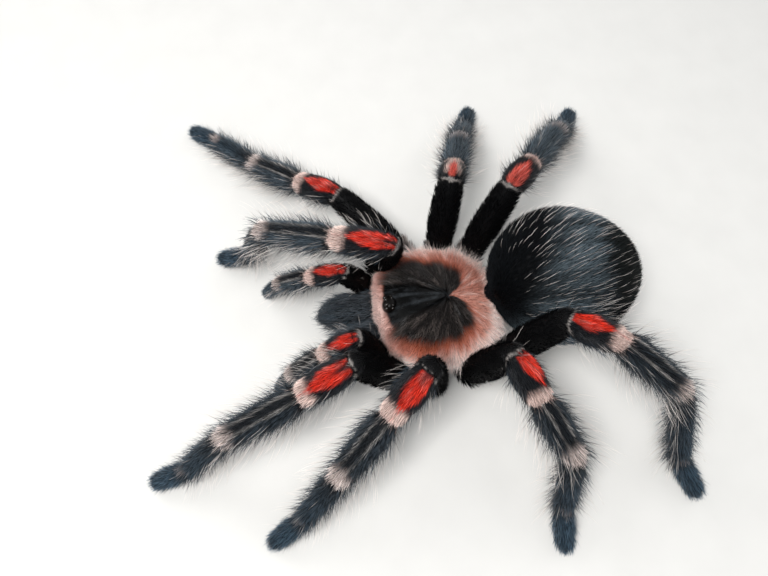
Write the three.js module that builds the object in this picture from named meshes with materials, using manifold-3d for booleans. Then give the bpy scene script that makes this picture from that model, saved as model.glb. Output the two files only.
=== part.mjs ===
// A still, life-size red knee tarantula standing with its legs spread.
// Millimetres and degrees. The floor is z = 0, the head looks along -Y and its left side is +X.
import * as THREE from "three";
import { mergeVertices } from "three/addons/utils/BufferGeometryUtils.js";
import Module from "manifold-3d";

// Driving dimensions.
const gap = 0.3; // kept between touching pieces
const body = { x: 6, y: 6.4, rim: 7.9, pitch: 5 }; // the middle of the carapace's rim, and the head's rise
const carapace = {
  halfLength: 13, halfWidth: 13, squareness: 2.5, // its outline, a rounded oval
  dome: 6.8, lip: 0.5, plug: 1.7, // its height, the edge's half thickness, and how deep it fills the body
  fovea: -2, // where its grooves meet, forward of the middle
};
// Grooves run out from the fovea: the pair that bounds the head, then those between the legs.
const grooves = [
  { turn: 30, depth: 0.55 }, { turn: 75, depth: 0.4 }, { turn: 105, depth: 0.4 },
  { turn: 135, depth: 0.4 }, { turn: 180, depth: 0.3 },
];
const grooveSpread = 7; // degrees
const sternum = { halfLength: 7, halfWidth: 6, top: -2.2, bottom: -6.3 };
const tubercle = {
  forward: 10.4, halfLength: 1.25, halfWidth: 1.6, flare: 1.1, foot: 3.6, top: 6.5, sides: 10,
};
const eyes = [ // forward and out from the tubercle's middle, and radius; each is a pair
  { forward: 0.75, out: 0.55, radius: 0.36 },
  { forward: 0.85, out: 1.15, radius: 0.3 },
  { forward: -0.35, out: 1.3, radius: 0.28 },
  { forward: -0.45, out: 0.8, radius: 0.24 },
];
const abdomen = {
  turn: 179, neck: 11.4, height: 13.5, halfLength: 15.2, halfWidth: 13.6, halfHeight: 11.3,
  behind: 0.08, blunt: 0.03, // how far its widest part lies behind its middle, and how full it is there
};
const spinneret = { out: 1.5, lift: -25, turn: 12, length: 3.4, sunk: 3, radius: 0.85 };
const chelicera = {
  out: 3.3, spread: 0.7, from: 8.5, to: 23.2, top: 1.2, drop: -3.8, halfWidth: 3, halfHeight: 3.5,
};
// High and low are the heights of a fang's root and tip above the floor.
const fang = { radius: 0.8, tip: 0.25, from: 21.8, fold: 6, high: 3.1, low: 1.35 };

// Lengths of the limb segments, and where each hip ends: forward, out and up from the rim's middle.
const limbSizes = {
  first: { femur: 19.3, patella: 11.8, tibia: 16.7, metatarsus: 12.9, tarsus: 8.2, hip: [9.5, 13.2, -2.9] },
  second: { femur: 18.8, patella: 11.2, tibia: 14.3, metatarsus: 13, tarsus: 8.4, hip: [4.1, 15.5, -2] },
  third: { femur: 17.2, patella: 9.1, tibia: 11.7, metatarsus: 13.6, tarsus: 8, hip: [-4.2, 14.7, -1.2] },
  fourth: { femur: 20, patella: 9.9, tibia: 15.1, metatarsus: 18.4, tarsus: 8.1, hip: [-11.1, 12.5, -1.2] },
  palp: { femur: 14.8, patella: 8.4, tibia: 9.2, metatarsus: 0, tarsus: 8.4, hip: [12.8, 8.6, -3.2] },
};

// How each limb stands. A turn is counted from straight ahead, positive to the spider's left,
// a lift from level. The heel is the height of the joint before the tarsus.
const limbs = {
  leg_l1: {
    size: "first", side: 1, femur: [3, 61], knee: [14, -24], tibia: -15, foot: [15, 3], heel: 5,
  },
  leg_l2: {
    size: "second", side: 1, femur: [48, 80], knee: [35, -27], tibia: -22, foot: [31, 21], heel: 5.5,
  },
  leg_l3: {
    size: "third", side: 1, femur: [149, 70], knee: [111, -17], tibia: -18, foot: [78, 82], heel: 4.8,
  },
  leg_l4: {
    size: "fourth", side: 1, femur: [174, 62], knee: [137, 16], tibia: -23, foot: [103, 109], heel: 4.8,
  },
  leg_r1: {
    size: "first", side: -1, femur: [-76, 108], knee: [-27, -13], tibia: -16, foot: [-20, -19], heel: 5,
  },
  leg_r2: {
    size: "second", side: -1, femur: [-50, 15], knee: [-44, -19], tibia: -12, foot: [-49, -44], heel: 2.6,
  },
  leg_r3: {
    size: "third", side: -1, femur: [-116, 65], knee: [-113, -39], tibia: -19, foot: [-115, -116], heel: 3.8,
  },
  leg_r4: {
    size: "fourth", side: -1, femur: [-153, 66], knee: [-136, -20], tibia: -15, foot: [-129, -126], heel: 3,
  },
  palp_l: {
    size: "palp", side: 1, femur: [-8, 72], knee: [5, -31], tibia: -41, foot: [5, 5], tip: 2,
  },
  palp_r: {
    size: "palp", side: -1, femur: [28, 68], knee: [-20, -32], tibia: -37, foot: [-26, -26], tip: 2.2,
  },
};
const footHeight = 1.4; // the middle of a leg's tarsus above the floor, at its tip

// Half thickness along each segment, as [share of the length, radius].
const girth = {
  femur: [[0, 2.45], [0.4, 2.95], [1, 2.45]],
  patella: [[0, 2.4], [0.45, 2.7], [1, 2.35]],
  tibia: [[0, 2.15], [0.3, 2.45], [1, 1.95]],
  metatarsus: [[0, 1.8], [0.3, 1.95], [1, 1.65]],
  tarsus: [[0, 1.65], [0.45, 1.75], [0.85, 1.5]],
};
const palpGirth = 0.76; // the palps are thinner than the legs
const coxa = { start: 6.9, height: 2.5, width: 2.6, narrow: 1.35, level: -4.1 };
const shortCoat = 0.3; // how far the dense short coat stands past the flesh

// The long coat: flat, tapered locks in rows round the limb, wide enough to overlap.
// Rise is how steeply a lock leaves the flesh before it bends over towards the tip of the limb.
// A lock's root is sunk this deep, and bend is the share of its rise that is left at its tip.
const lock = { thickness: 0.55, sunk: 0.9, taper: 0.8, bend: 0.4 };
const uneven = 0.15; // how far locks differ in length, rise and place
// Distances from the joint to the first row, between rows, and from the last row to the next joint.
const rowSpacing = { first: 2, next: 4.6, last: 2.2 };
const limbLocks = {
  patella: { count: 4, length: 4.4, width: 2.4, rise: 46 },
  tibia: { count: 4, length: 5.2, width: 2.5, rise: 44 },
  metatarsus: { count: 4, length: 4.5, width: 2.2, rise: 40 },
  tarsus: { count: 3, length: 2.5, width: 1.8, rise: 26 },
};
const bareBack = 38; // the colour patch along the back of a limb has no long locks, this far to each side
const abdomenLocks = {
  rows: [[34, 6], [59, 9], [83, 11], [107, 11], [131, 9], [154, 6]], // angle from the front, and count
  length: 4.2, width: 2.5, rise: 22,
};
const bellyLimit = 128; // no long locks further round than this from the top of the abdomen
const rimLocks = { count: 19, length: 2.3, width: 2.5, rise: 38 };
const jawLocks = { count: 4, length: 2.3, width: 1.1, rise: 30 };

const colors = {
  coat: 0x15171b, velvet: 0x0b0b0d, flame: 0xd8301c, rust: 0xc9745c, steel: 0x39424d,
  eye: 0x0a0806, fang: 0x140a08,
};

const wasm = await Module();
wasm.setup();

const radians = THREE.MathUtils.degToRad;
const up = new THREE.Vector3(0, 0, 1);

// A level direction, turned from straight ahead.
function heading(turn) {
  return new THREE.Vector3(Math.sin(radians(turn)), -Math.cos(radians(turn)), 0);
}

function direction(turn, lift) {
  return heading(turn).multiplyScalar(Math.cos(radians(lift))).addScaledVector(up, Math.sin(radians(lift)));
}

function along(from, way, distance) {
  return from.clone().addScaledVector(way, distance);
}

const bodyMiddle = new THREE.Vector3(body.x, body.y, body.rim);
const bodyForward = direction(0, body.pitch);
const bodyLeft = heading(90);
const bodyUp = bodyForward.clone().cross(bodyLeft);

// A point on the front of the body, from the middle of the carapace's rim.
function bodyPoint(forward, left, above) {
  return along(along(along(bodyMiddle, bodyForward, forward), bodyLeft, left), bodyUp, above);
}

function solidOf(vertProperties, triVerts) {
  return new wasm.Manifold(new wasm.Mesh({ numProp: 3, vertProperties, triVerts }));
}

// A closed solid through rings of points. A ring of one point closes to a tip.
function loft(rings) {
  const positions = rings.flat().flatMap((point) => [point.x, point.y, point.z]);
  const firsts = rings.map((_, ring) => rings.slice(0, ring).flat().length);
  const triVerts = [];
  for (let ring = 0; ring + 1 < rings.length; ring++) {
    const here = rings[ring].length;
    const next = rings[ring + 1].length;
    for (let i = 0; i < Math.max(here, next); i++) {
      const a = firsts[ring] + (i % here);
      const b = firsts[ring] + ((i + 1) % here);
      const c = firsts[ring + 1] + ((i + 1) % next);
      const d = firsts[ring + 1] + (i % next);
      if (here > 1) triVerts.push(a, b, c);
      if (next > 1) triVerts.push(a, c, d);
    }
  }
  const last = firsts[rings.length - 1];
  for (let i = 1; i + 1 < rings[0].length; i++) triVerts.push(0, i + 1, i);
  for (let i = 1; i + 1 < rings.at(-1).length; i++) triVerts.push(last, last + i, last + i + 1);
  const solid = solidOf(new Float32Array(positions), new Uint32Array(triVerts));
  if (solid.volume() < 0) throw new Error("a loft is inside out");
  return solid;
}

// An ellipse of points round a middle, across the two half axes given.
function ring(middle, acrossA, acrossB, sides = 10) {
  return Array.from({ length: sides }, (_, i) => {
    const angle = (2 * Math.PI * (i + 0.5)) / sides;
    return along(along(middle, acrossA, Math.cos(angle)), acrossB, Math.sin(angle));
  });
}

// Where a limb's joints are, and the way each segment runs.
function limbPlan(name) {
  const limb = limbs[name];
  const size = limbSizes[limb.size];
  const [forward, out, above] = size.hip;
  const turns = {
    femur: limb.femur[0], patella: limb.knee[0], tibia: limb.knee[0],
    metatarsus: limb.foot[0], tarsus: limb.foot[1],
  };
  const lifts = { femur: limb.femur[1], patella: limb.knee[1], tibia: limb.tibia };
  const ends = { metatarsus: limb.heel, tarsus: limb.tip ?? footHeight };
  const joints = [bodyPoint(forward, limb.side * out, above)];
  const ways = [];
  Object.keys(turns).filter((part) => size[part] > 0).forEach((part) => {
    const start = joints.at(-1);
    const length = size[part];
    const lift = lifts[part] ?? THREE.MathUtils.radToDeg(Math.asin((ends[part] - start.z) / length));
    ways.push({ part, turn: turns[part], way: direction(turns[part], lift), length });
    joints.push(along(start, ways.at(-1).way, length));
  });
  return { joints, ways, ...(limb.size === "palp" ? { slim: palpGirth, sides: 8 } : { slim: 1, sides: 10 }) };
}

// The rings of one limb segment, cut square to the middle of the bend at each joint.
// grow makes it thicker all round, for clearing its neighbours.
function segmentRings(plan, index, coat, grow = 0) {
  const { part, turn, way, length } = plan.ways[index];
  const start = plan.joints[index];
  const before = plan.ways[index - 1];
  const after = plan.ways[index + 1];
  const across = heading(turn + 90);
  const above = way.clone().cross(across);
  const round = (at, radius) => ring(
    along(start, way, at),
    across.clone().multiplyScalar(radius),
    above.clone().multiplyScalar(radius),
    plan.sides,
  );
  const profile = girth[part].map(([share, radius]) => (
    { at: share * length, radius: radius * plan.slim + coat + grow }
  ));
  const rings = profile.map(({ at, radius }) => round(at === 0 ? -grow : at, radius));
  const domed = part === "femur" || !after;
  if (before && part !== "patella") mitre(rings[0], start, way, before.way, gap / 2);
  if (!domed) mitre(rings.at(-1), plan.joints[index + 1], way, after.way, -gap / 2);
  if (domed) {
    const { at, radius } = profile.at(-1);
    const reach = part === "femur" ? radius : length - at + 0.4 + grow;
    rings.push(round(at + 0.6 * reach, 0.8 * radius), [along(start, way, at + reach)]);
  }
  return rings;
}

function segment(plan, index, coat, grow = 0) {
  return loft(segmentRings(plan, index, coat, grow));
}

// The metatarsus and tarsus stand as one, so the foot is one piece through its joint, flat on the floor.
function footSolid(plan, coat, grow = 0) {
  const heel = segmentRings(plan, 3, coat, grow);
  const toe = segmentRings(plan, 4, coat, grow);
  return loft([...heel.slice(0, -1), ...toe]);
}

// Slides each point of a ring along the segment onto the joint's plane.
function mitre(points, joint, way, otherWay, offset) {
  const normal = way.clone().add(otherWay).normalize();
  points.forEach((point) => {
    const slide = (offset - point.clone().sub(joint).dot(normal)) / way.dot(normal);
    point.addScaledVector(way, slide);
  });
}

// The coxa and trochanter: from the sternum's edge to the hip joint, as wide as its share of the ring allows.
function hipSolid(name, grow = 0) {
  const limb = limbs[name];
  const [forward, out, above] = limbSizes[limb.size].hip;
  const reach = Math.hypot(forward, out);
  const inner = coxa.start / reach;
  const slim = limb.size === "palp" ? 0.85 : 1;
  const end = bodyPoint(forward, limb.side * out, above);
  const start = bodyPoint(forward * inner, limb.side * out * inner, coxa.level);
  const way = end.clone().sub(start).normalize();
  const across = way.clone().cross(bodyUp).normalize().negate();
  const top = way.clone().cross(across);
  const length = end.distanceTo(start);
  const spans = [ // distance from the start, half width, and share of the height
    [-grow, coxa.narrow, 0.85],
    [0.55 * length, 0.86 * coxa.width, 1],
    [0.8 * length, coxa.width, 1],
    [length, 0.95 * coxa.width, 0.95],
  ];
  const rings = spans.map(([at, width, height]) => ring(
    along(start, way, at),
    across.clone().multiplyScalar(width * slim + grow),
    top.clone().multiplyScalar(coxa.height * height * slim + grow),
    8,
  ));
  rings.push([along(end, way, 0.8 * slim * coxa.width + grow)]);
  return loft(rings);
}

// A point on the carapace: share runs from the fovea to the rim, turn from the front round to the left.
function carapacePoint(share, turn, above, grow) {
  const power = 2 / carapace.squareness;
  const cos = Math.cos(radians(turn));
  const sin = Math.sin(radians(turn));
  const forward = Math.sign(cos) * Math.abs(cos) ** power * (carapace.halfLength * share + grow);
  const left = Math.sign(sin) * Math.abs(sin) ** power * (carapace.halfWidth * share + grow);
  const middle = carapace.fovea * (1 - share);
  const height = above(forward + middle, share, turn);
  return bodyPoint(forward + middle, left, height + (height > 0 ? grow : -grow));
}

function carapaceRing(share, above, grow, sides = 24) {
  return Array.from({ length: sides }, (_, i) => carapacePoint(share, (360 * i) / sides, above, grow));
}

// The dome is highest over the head, which stays high and falls steeply at the front. The rest falls
// gently to a low, even rim, with shallow grooves.
function domeHeight(forward, share, turn) {
  const crown = carapace.dome * (0.72 + 0.28 * Math.exp(-(((forward - 5) / 7) ** 2)));
  const front = THREE.MathUtils.smoothstep(forward, 1, 9);
  const fall = (1 - share ** (2.2 + 1.8 * front)) ** (0.85 - 0.5 * front);
  const away = Math.min(turn, 360 - turn);
  const dips = grooves.map(({ turn: at, depth }) => depth * Math.exp(-(((away - at) / grooveSpread) ** 2)));
  const dip = dips.reduce((sum, depth) => sum + depth, 0) * Math.sin(Math.PI * share ** 0.8);
  return carapace.lip + (crown - carapace.lip) * fall - dip;
}

function carapaceSolid(grow = 0) {
  const low = () => -carapace.plug;
  const edge = () => -carapace.lip;
  const fovea = bodyPoint(carapace.fovea, 0, domeHeight(carapace.fovea, 0, 0) + grow);
  return loft([
    [bodyPoint(0, 0, -carapace.plug - grow)],
    carapaceRing(0.84, low, grow),
    carapaceRing(1, edge, grow),
    ...[1, 0.93, 0.8, 0.6, 0.35].map((share) => carapaceRing(share, domeHeight, grow)),
    [fovea],
  ]);
}

function sternumSolid(grow = 0) {
  const plate = (share, above) => ring(
    bodyPoint(0, 0, above),
    bodyForward.clone().multiplyScalar(sternum.halfLength * share + grow),
    bodyLeft.clone().multiplyScalar(sternum.halfWidth * share + grow),
    16,
  );
  return loft([
    [bodyPoint(0, 0, sternum.bottom - grow)],
    plate(0.75, sternum.bottom - 0.8 * grow + 0.25),
    plate(1, sternum.bottom + 1.2),
    plate(0.9, sternum.top + grow),
  ]);
}

function moundRing(share, above, grow = 0) {
  return ring(
    bodyPoint(tubercle.forward, 0, above),
    bodyForward.clone().multiplyScalar(tubercle.halfLength * share + grow),
    bodyLeft.clone().multiplyScalar(tubercle.halfWidth * share + grow),
    tubercle.sides,
  );
}

// The raised eye mound with its eight eyes.
function tubercleSolid() {
  const { forward, flare, foot, top } = tubercle;
  const mound = loft([
    moundRing(flare, foot), moundRing(1, top - 0.8), moundRing(0.75, top - 0.2), [bodyPoint(forward, 0, top)],
  ]);
  const bulbs = eyes.flatMap((eye) => [1, -1].map((side) => {
    const height = top - 0.35 * eye.out ** 2 - 0.25 * Math.abs(eye.forward);
    const place = bodyPoint(forward + eye.forward, side * eye.out, height);
    return solidFrom(new THREE.IcosahedronGeometry(eye.radius, 0).translate(place.x, place.y, place.z));
  }));
  return wasm.Manifold.union([mound, ...bulbs]);
}

// The room that the carapace leaves for the eye mound.
function moundWell() {
  const { flare, foot, top } = tubercle;
  return loft([moundRing(flare, foot - gap, 1.1 * gap), moundRing(flare, top + 2, 1.1 * gap)]);
}

function solidFrom(geometry) {
  geometry.deleteAttribute("normal");
  geometry.deleteAttribute("uv");
  const merged = mergeVertices(geometry, 1e-4);
  return solidOf(merged.attributes.position.array, new Uint32Array(merged.index.array));
}

// The abdomen is an egg, widest behind its middle, hung from the rear of the carapace.
const abdomenWay = heading(abdomen.turn);
const abdomenLeft = heading(abdomen.turn + 90);
const abdomenFront = bodyPoint(-abdomen.neck, 0, 0).setZ(abdomen.height);

// A point on the abdomen's skin: angle runs from the front to the rear, round from the top to the left.
function abdomenPoint(angle, round, coat) {
  const t = radians(angle);
  const swell = Math.sin(t + abdomen.behind * Math.sin(t)) * (1 - abdomen.blunt * Math.cos(2 * t));
  const reach = abdomen.halfLength - (abdomen.halfLength + coat) * Math.cos(t);
  const left = (abdomen.halfWidth + coat) * swell * Math.sin(radians(round));
  const sag = 0.4 * Math.cos(t) * Math.sin(t);
  const above = (abdomen.halfHeight + coat) * swell * Math.cos(radians(round)) - sag;
  return along(along(along(abdomenFront, abdomenWay, reach), abdomenLeft, left), up, above);
}

function abdomenSolid(coat, grow = 0) {
  const stations = 8;
  const sides = 20;
  const rings = Array.from({ length: stations - 1 }, (_, i) => Array.from({ length: sides }, (_, j) =>
    abdomenPoint((180 * (i + 1)) / stations, (-360 * (j + 0.5)) / sides, coat + grow)));
  return loft([[abdomenPoint(0, 0, coat + grow)], ...rings, [abdomenPoint(180, 0, coat + grow)]]);
}

function abdomenRows() {
  const { rows, length, width, rise } = abdomenLocks;
  const skin = (angle, round) => abdomenPoint(angle, round, shortCoat);
  return rows.flatMap(([angle, count], row) => Array.from({ length: count }, (_, i) => {
    const place = i + 0.5 + (row % 2 ? 0.2 : -0.2) + uneven * vary();
    const round = -bellyLimit + (2 * bellyLimit * place) / count;
    const there = angle + 4 * vary();
    const lie = skin(there + 4, round).sub(skin(there - 4, round)).normalize();
    const across = skin(there, round + 4).sub(skin(there, round - 4)).normalize();
    const out = lie.clone().cross(across).normalize();
    return { root: skin(there, round), out, lie, length: length * (1 + uneven * vary()), width, rise };
  }));
}

// The fringe round the carapace's rim.
function rimRow() {
  const { count, length, width, rise } = rimLocks;
  return Array.from({ length: count }, (_, i) => {
    const turn = ((360 * (i + 0.5 + uneven * vary())) / count + 360) % 360;
    const root = carapacePoint(0.97, turn, () => carapace.lip, 0);
    return { root, out: bodyUp.clone(), lie: root.clone().sub(bodyMiddle).normalize(), length, width, rise };
  });
}

// The longer hair round the end of a chelicera.
function jawRow(side) {
  const { count, length, width, rise } = jawLocks;
  const middle = cheliceraStation(side, 0.86);
  return Array.from({ length: count }, (_, i) => {
    const round = radians(-100 + (200 * (i + 0.5)) / count);
    const out = bodyUp.clone().multiplyScalar(Math.cos(round)).addScaledVector(bodyLeft, Math.sin(round));
    return { root: along(middle, out, 1.9), out, lie: bodyForward.clone(), length, width, rise };
  });
}

function spinneretSolid(side) {
  const way = direction(abdomen.turn + side * spinneret.turn, spinneret.lift);
  const across = heading(abdomen.turn + side * spinneret.turn + 90);
  const above = way.clone().cross(across);
  const rear = along(abdomenFront, abdomenWay, 2 * abdomen.halfLength - spinneret.sunk);
  const root = along(rear, abdomenLeft, side * spinneret.out);
  root.z = abdomen.height - 0.42 * abdomen.halfHeight;
  const whole = spinneret.length + spinneret.sunk;
  const span = (share, size) => ring(
    along(root, way, share * whole),
    across.clone().multiplyScalar(spinneret.radius * size),
    above.clone().multiplyScalar(spinneret.radius * size),
    8,
  );
  return loft([span(0, 1), span(0.7, 0.9), span(0.95, 0.5), [along(root, way, whole + 0.2)]]);
}

// A chelicera is a stout rounded block that runs forward from under the carapace's front and sinks.
function cheliceraStation(side, share, size = 1) {
  const { from, to, out, spread, top, halfHeight, drop } = chelicera;
  const left = side * (out + spread * share + 0.25 * (1 - size));
  return bodyPoint(from + share * (to - from), left, top - halfHeight + drop * share ** 2);
}

function cheliceraSolid(side) {
  const stations = [[0, 0.8], [0.3, 1], [0.62, 1], [0.85, 0.86], [0.96, 0.58]];
  const rings = stations.map(([share, size]) => ring(
    cheliceraStation(side, share, size),
    bodyLeft.clone().multiplyScalar(chelicera.halfWidth * size),
    bodyUp.clone().multiplyScalar(chelicera.halfHeight * size),
    12,
  ));
  return loft([...rings, [cheliceraStation(side, 1)]]);
}

// A fang bows down and back under its chelicera, and tapers to its point.
function fangSolid(side, grow = 0) {
  const out = side * (chelicera.out + chelicera.spread);
  const place = (share) => {
    const height = fang.low + (fang.high - fang.low) * (1 - share) ** 3;
    return bodyPoint(fang.from - fang.fold * share, out, 0).setZ(height);
  };
  const stations = [0, 0.2, 0.45, 0.75, 1];
  const rings = stations.map((share) => {
    const way = place(share + 0.05).sub(place(share - 0.05)).normalize();
    const radius = fang.radius + (fang.tip - fang.radius) * share + grow;
    const middle = along(place(share), way, share === 0 ? -grow : share === 1 ? grow : 0);
    const across = bodyLeft.clone().multiplyScalar(radius);
    return ring(middle, across, way.clone().cross(across), 8);
  });
  return loft(rings);
}

// Cuts a solid clear of others, and keeps its largest closed surface.
function cutClear(solid, others) {
  const cut = others.reduce((rest, other) => rest.subtract(other), solid);
  return cut.decompose().reduce((best, piece) => (piece.volume() > best.volume() ? piece : best));
}

// A small seeded random number, from -1 to 1, so that the coat is the same each time.
let seed = 7;
function vary() {
  seed = (seed * 16807) % 2147483647;
  return (2 * seed) / 2147483647 - 1;
}

// One flat lock. Its root is sunk in the flesh, and it leaves at its rise and bends over along the lie.
function lockSolid({ root, out, lie, length, width, rise }) {
  const across = out.clone().cross(lie).normalize();
  const lean = (lift) => (
    lie.clone().multiplyScalar(Math.cos(radians(lift))).addScaledVector(out, Math.sin(radians(lift)))
  );
  const rising = lean(rise);
  const bending = lean(rise * lock.bend);
  const knee = along(root, rising, length / 2);
  const section = (middle, way, wide) => {
    const flat = way.clone().cross(across).multiplyScalar(lock.thickness / 3);
    const back = along(middle, flat, -1);
    return [along(middle, flat, 2), along(back, across, -wide / 2), along(back, across, wide / 2)];
  };
  return loft([
    section(along(root, rising, -lock.sunk), rising, width),
    section(knee, rising.clone().add(bending).normalize(), width * lock.taper),
    [along(knee, bending, length / 2)],
  ]);
}

const spider = new THREE.Group();
const nodes = new Map();

// Fuses locks to a node. One that would come too near another node or the floor is laid flatter and
// made shorter, and is left out where even that doesn't clear it.
function addLocks(name, wanted) {
  const node = nodes.get(name);
  const others = [...nodes].filter(([other]) => other !== name)
    .map(([, { solid }]) => ({ solid, box: boxOf(solid) }));
  const placed = [];
  for (const one of wanted) {
    for (const share of [1, 0.85, 0.7, 0.55]) {
      const tried = lockSolid({ ...one, length: one.length * share, rise: one.rise * share });
      const box = boxOf(tried).expandByScalar(gap);
      const near = others.filter((other) => other.box.intersectsBox(box));
      if (box.min.z > 0 && near.every((other) => tried.minGap(other.solid, 2 * gap) > 0.95 * gap)) {
        placed.push(tried);
        break;
      }
    }
  }
  node.solid = cutClear(wasm.Manifold.union([node.solid, ...placed]), []);
}

function boxOf(solid) {
  const { min, max } = solid.boundingBox();
  return new THREE.Box3(new THREE.Vector3(...min), new THREE.Vector3(...max));
}

// The rows of locks round one limb segment, left bare along the back.
function limbRows(plan, index) {
  const { part, turn, way, length } = plan.ways[index];
  const { count, length: reach, width, rise } = limbLocks[part];
  const across = heading(turn + 90);
  const above = way.clone().cross(across);
  const rows = Math.floor((length - rowSpacing.first - rowSpacing.last) / rowSpacing.next) + 1;
  return Array.from({ length: rows * count }, (_, i) => {
    const row = Math.floor(i / count);
    const stagger = row % 2 ? 0.25 : -0.25;
    const round = bareBack + ((360 - 2 * bareBack) * ((i % count) + 0.5 + stagger + uneven * vary())) / count;
    const at = rowSpacing.first + row * rowSpacing.next + 2 * uneven * vary();
    const angle = radians(round);
    const out = above.clone().multiplyScalar(Math.cos(angle)).addScaledVector(across, Math.sin(angle));
    const radius = radiusAt(part, at / length) * plan.slim + shortCoat;
    return {
      root: along(along(plan.joints[index], way, at), out, radius),
      out,
      lie: way,
      length: reach * plan.slim * (1 + uneven * vary()),
      width: width * plan.slim,
      rise: rise * (1 + uneven * vary()),
    };
  });
}

function radiusAt(part, share) {
  const profile = girth[part];
  const next = profile.findIndex(([at]) => at >= share);
  if (next <= 0) return profile.at(next)[1];
  const [[from, a], [to, b]] = profile.slice(next - 1, next + 1);
  return a + ((b - a) * (share - from)) / (to - from);
}

function addNode(group, name, solid, color, roughness = 0.8) {
  const material = new THREE.MeshStandardMaterial({ color, roughness, metalness: 0 });
  nodes.set(name, { solid, group, material });
}

const trunk = new THREE.Group();
spider.add(trunk);
const grownCarapace = carapaceSolid(gap);
const grownSternum = sternumSolid(gap);
addNode(trunk, "carapace", carapaceSolid().subtract(moundWell()), colors.rust, 0.7);
addNode(trunk, "sternum", sternumSolid().subtract(grownCarapace), colors.velvet);
addNode(trunk, "eye_tubercle", tubercleSolid(), colors.eye, 0.15);

// Limbs that stand close by the body keep clear of each other and of what is built after them.
const grownLimbs = [];
const plans = new Map();
for (const name of Object.keys(limbs)) {
  const group = new THREE.Group();
  spider.add(group);
  const plan = limbPlan(name);
  const grownHip = hipSolid(name, 1.4 * gap);
  const hip = cutClear(hipSolid(name), [grownCarapace, grownSternum, ...grownLimbs]);
  addNode(group, name + "_coxa", hip, colors.coat);
  const grownFemur = segment(plan, 0, shortCoat, gap);
  const clearOf = { femur: [grownHip, grownCarapace, ...grownLimbs], patella: [grownFemur] };
  const pieces = plan.ways.map(({ part }, index) => ({ part, solid: () => segment(plan, index, shortCoat) }));
  if (plan.ways.length === 5) pieces.splice(3, 2, { part: "foot", solid: () => footSolid(plan, shortCoat) });
  pieces.forEach(({ part, solid }) => {
    const clear = cutClear(solid(), clearOf[part] ?? []).trimByPlane([0, 0, 1], 0);
    addNode(group, name + "_" + part, clear, part === "patella" ? colors.flame : colors.coat);
  });
  grownLimbs.push(grownHip, grownFemur);
  plans.set(name, plan);
}

for (const side of [1, -1]) {
  const name = side > 0 ? "l" : "r";
  const cutters = [grownCarapace, grownSternum, fangSolid(side, gap), ...grownLimbs];
  const block = cutClear(cheliceraSolid(side), cutters);
  const outlet = cutClear(spinneretSolid(side), [abdomenSolid(shortCoat, gap)]);
  addNode(trunk, "chelicera_" + name, block, colors.steel);
  addNode(trunk, "fang_" + name, fangSolid(side), colors.fang, 0.2);
  addNode(trunk, "spinneret_" + name, outlet, colors.coat);
}
addNode(trunk, "abdomen", cutClear(abdomenSolid(shortCoat), [grownCarapace, ...grownLimbs]), colors.coat);

// The long coat goes on when every node is in its place.
for (const [name, plan] of plans) {
  const rows = plan.ways.map(({ part }, index) => (limbLocks[part] ? limbRows(plan, index) : []));
  const foot = plan.ways.length === 5 ? { foot: rows.splice(3, 2).flat() } : { tarsus: rows.pop() };
  const locks = { patella: rows[1], tibia: rows[2], ...foot };
  Object.entries(locks).forEach(([part, list]) => addLocks(name + "_" + part, list));
}
for (const side of [1, -1]) addLocks("chelicera_" + (side > 0 ? "l" : "r"), jawRow(side));
addLocks("abdomen", abdomenRows());
addLocks("carapace", rimRow());

for (const [name, { solid, group, material }] of nodes) {
  const { vertProperties, triVerts } = solid.getMesh();
  const geometry = new THREE.BufferGeometry();
  geometry.setAttribute("position", new THREE.BufferAttribute(vertProperties, 3));
  geometry.setIndex(new THREE.BufferAttribute(triVerts, 1));
  geometry.computeVertexNormals();
  const mesh = new THREE.Mesh(geometry, material);
  mesh.name = name;
  group.add(mesh);
}

export default spider;
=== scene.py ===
import math

import bpy
import numpy as np
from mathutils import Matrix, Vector, noise


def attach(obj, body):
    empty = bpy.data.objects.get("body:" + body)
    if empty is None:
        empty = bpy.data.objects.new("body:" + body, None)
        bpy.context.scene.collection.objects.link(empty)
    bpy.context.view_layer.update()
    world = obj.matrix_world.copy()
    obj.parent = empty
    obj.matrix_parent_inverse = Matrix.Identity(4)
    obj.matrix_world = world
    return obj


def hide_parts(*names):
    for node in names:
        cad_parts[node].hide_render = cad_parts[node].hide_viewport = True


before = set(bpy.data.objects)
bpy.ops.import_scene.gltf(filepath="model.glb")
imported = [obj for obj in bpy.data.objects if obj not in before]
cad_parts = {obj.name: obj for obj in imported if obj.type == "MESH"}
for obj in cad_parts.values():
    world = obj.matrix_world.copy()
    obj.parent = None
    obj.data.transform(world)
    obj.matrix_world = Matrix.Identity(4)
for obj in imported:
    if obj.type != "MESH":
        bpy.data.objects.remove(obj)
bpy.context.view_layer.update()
mm = 0.001  # in metres

# camera and lights

cameraPlan = {
    "target": (-3.98, -2.6, 0),  # mm, the floor point in the middle of the picture
    "azimuth": 78.6,
    "elevation": 65.3,
    "distance": 142.6,  # mm
    "lens": 29.39,  # mm, on the default 36 mm sensor
}
lightPlan = {  # azimuth, elevation, distance in mm, size in mm, watts
    "keyLight": (40, 66, 420, 160, 1.9),
    "fillLight": (200, 40, 520, 420, 0.5),
    "rimLight": (310, 35, 480, 300, 0.8),
}


def backDirection(azimuth, elevation):
    a, e = math.radians(azimuth), math.radians(elevation)
    return Vector((math.sin(a) * math.cos(e), -math.cos(a) * math.cos(e), math.sin(e)))


def placeAt(name, data, target, azimuth, elevation, distance):
    thing = bpy.data.objects.new(name, data)
    bpy.context.collection.objects.link(thing)
    back = backDirection(azimuth, elevation)
    thing.location = (Vector(target) + back * distance) * mm
    thing.rotation_euler = back.to_track_quat("Z", "Y").to_euler()
    return thing


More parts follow.
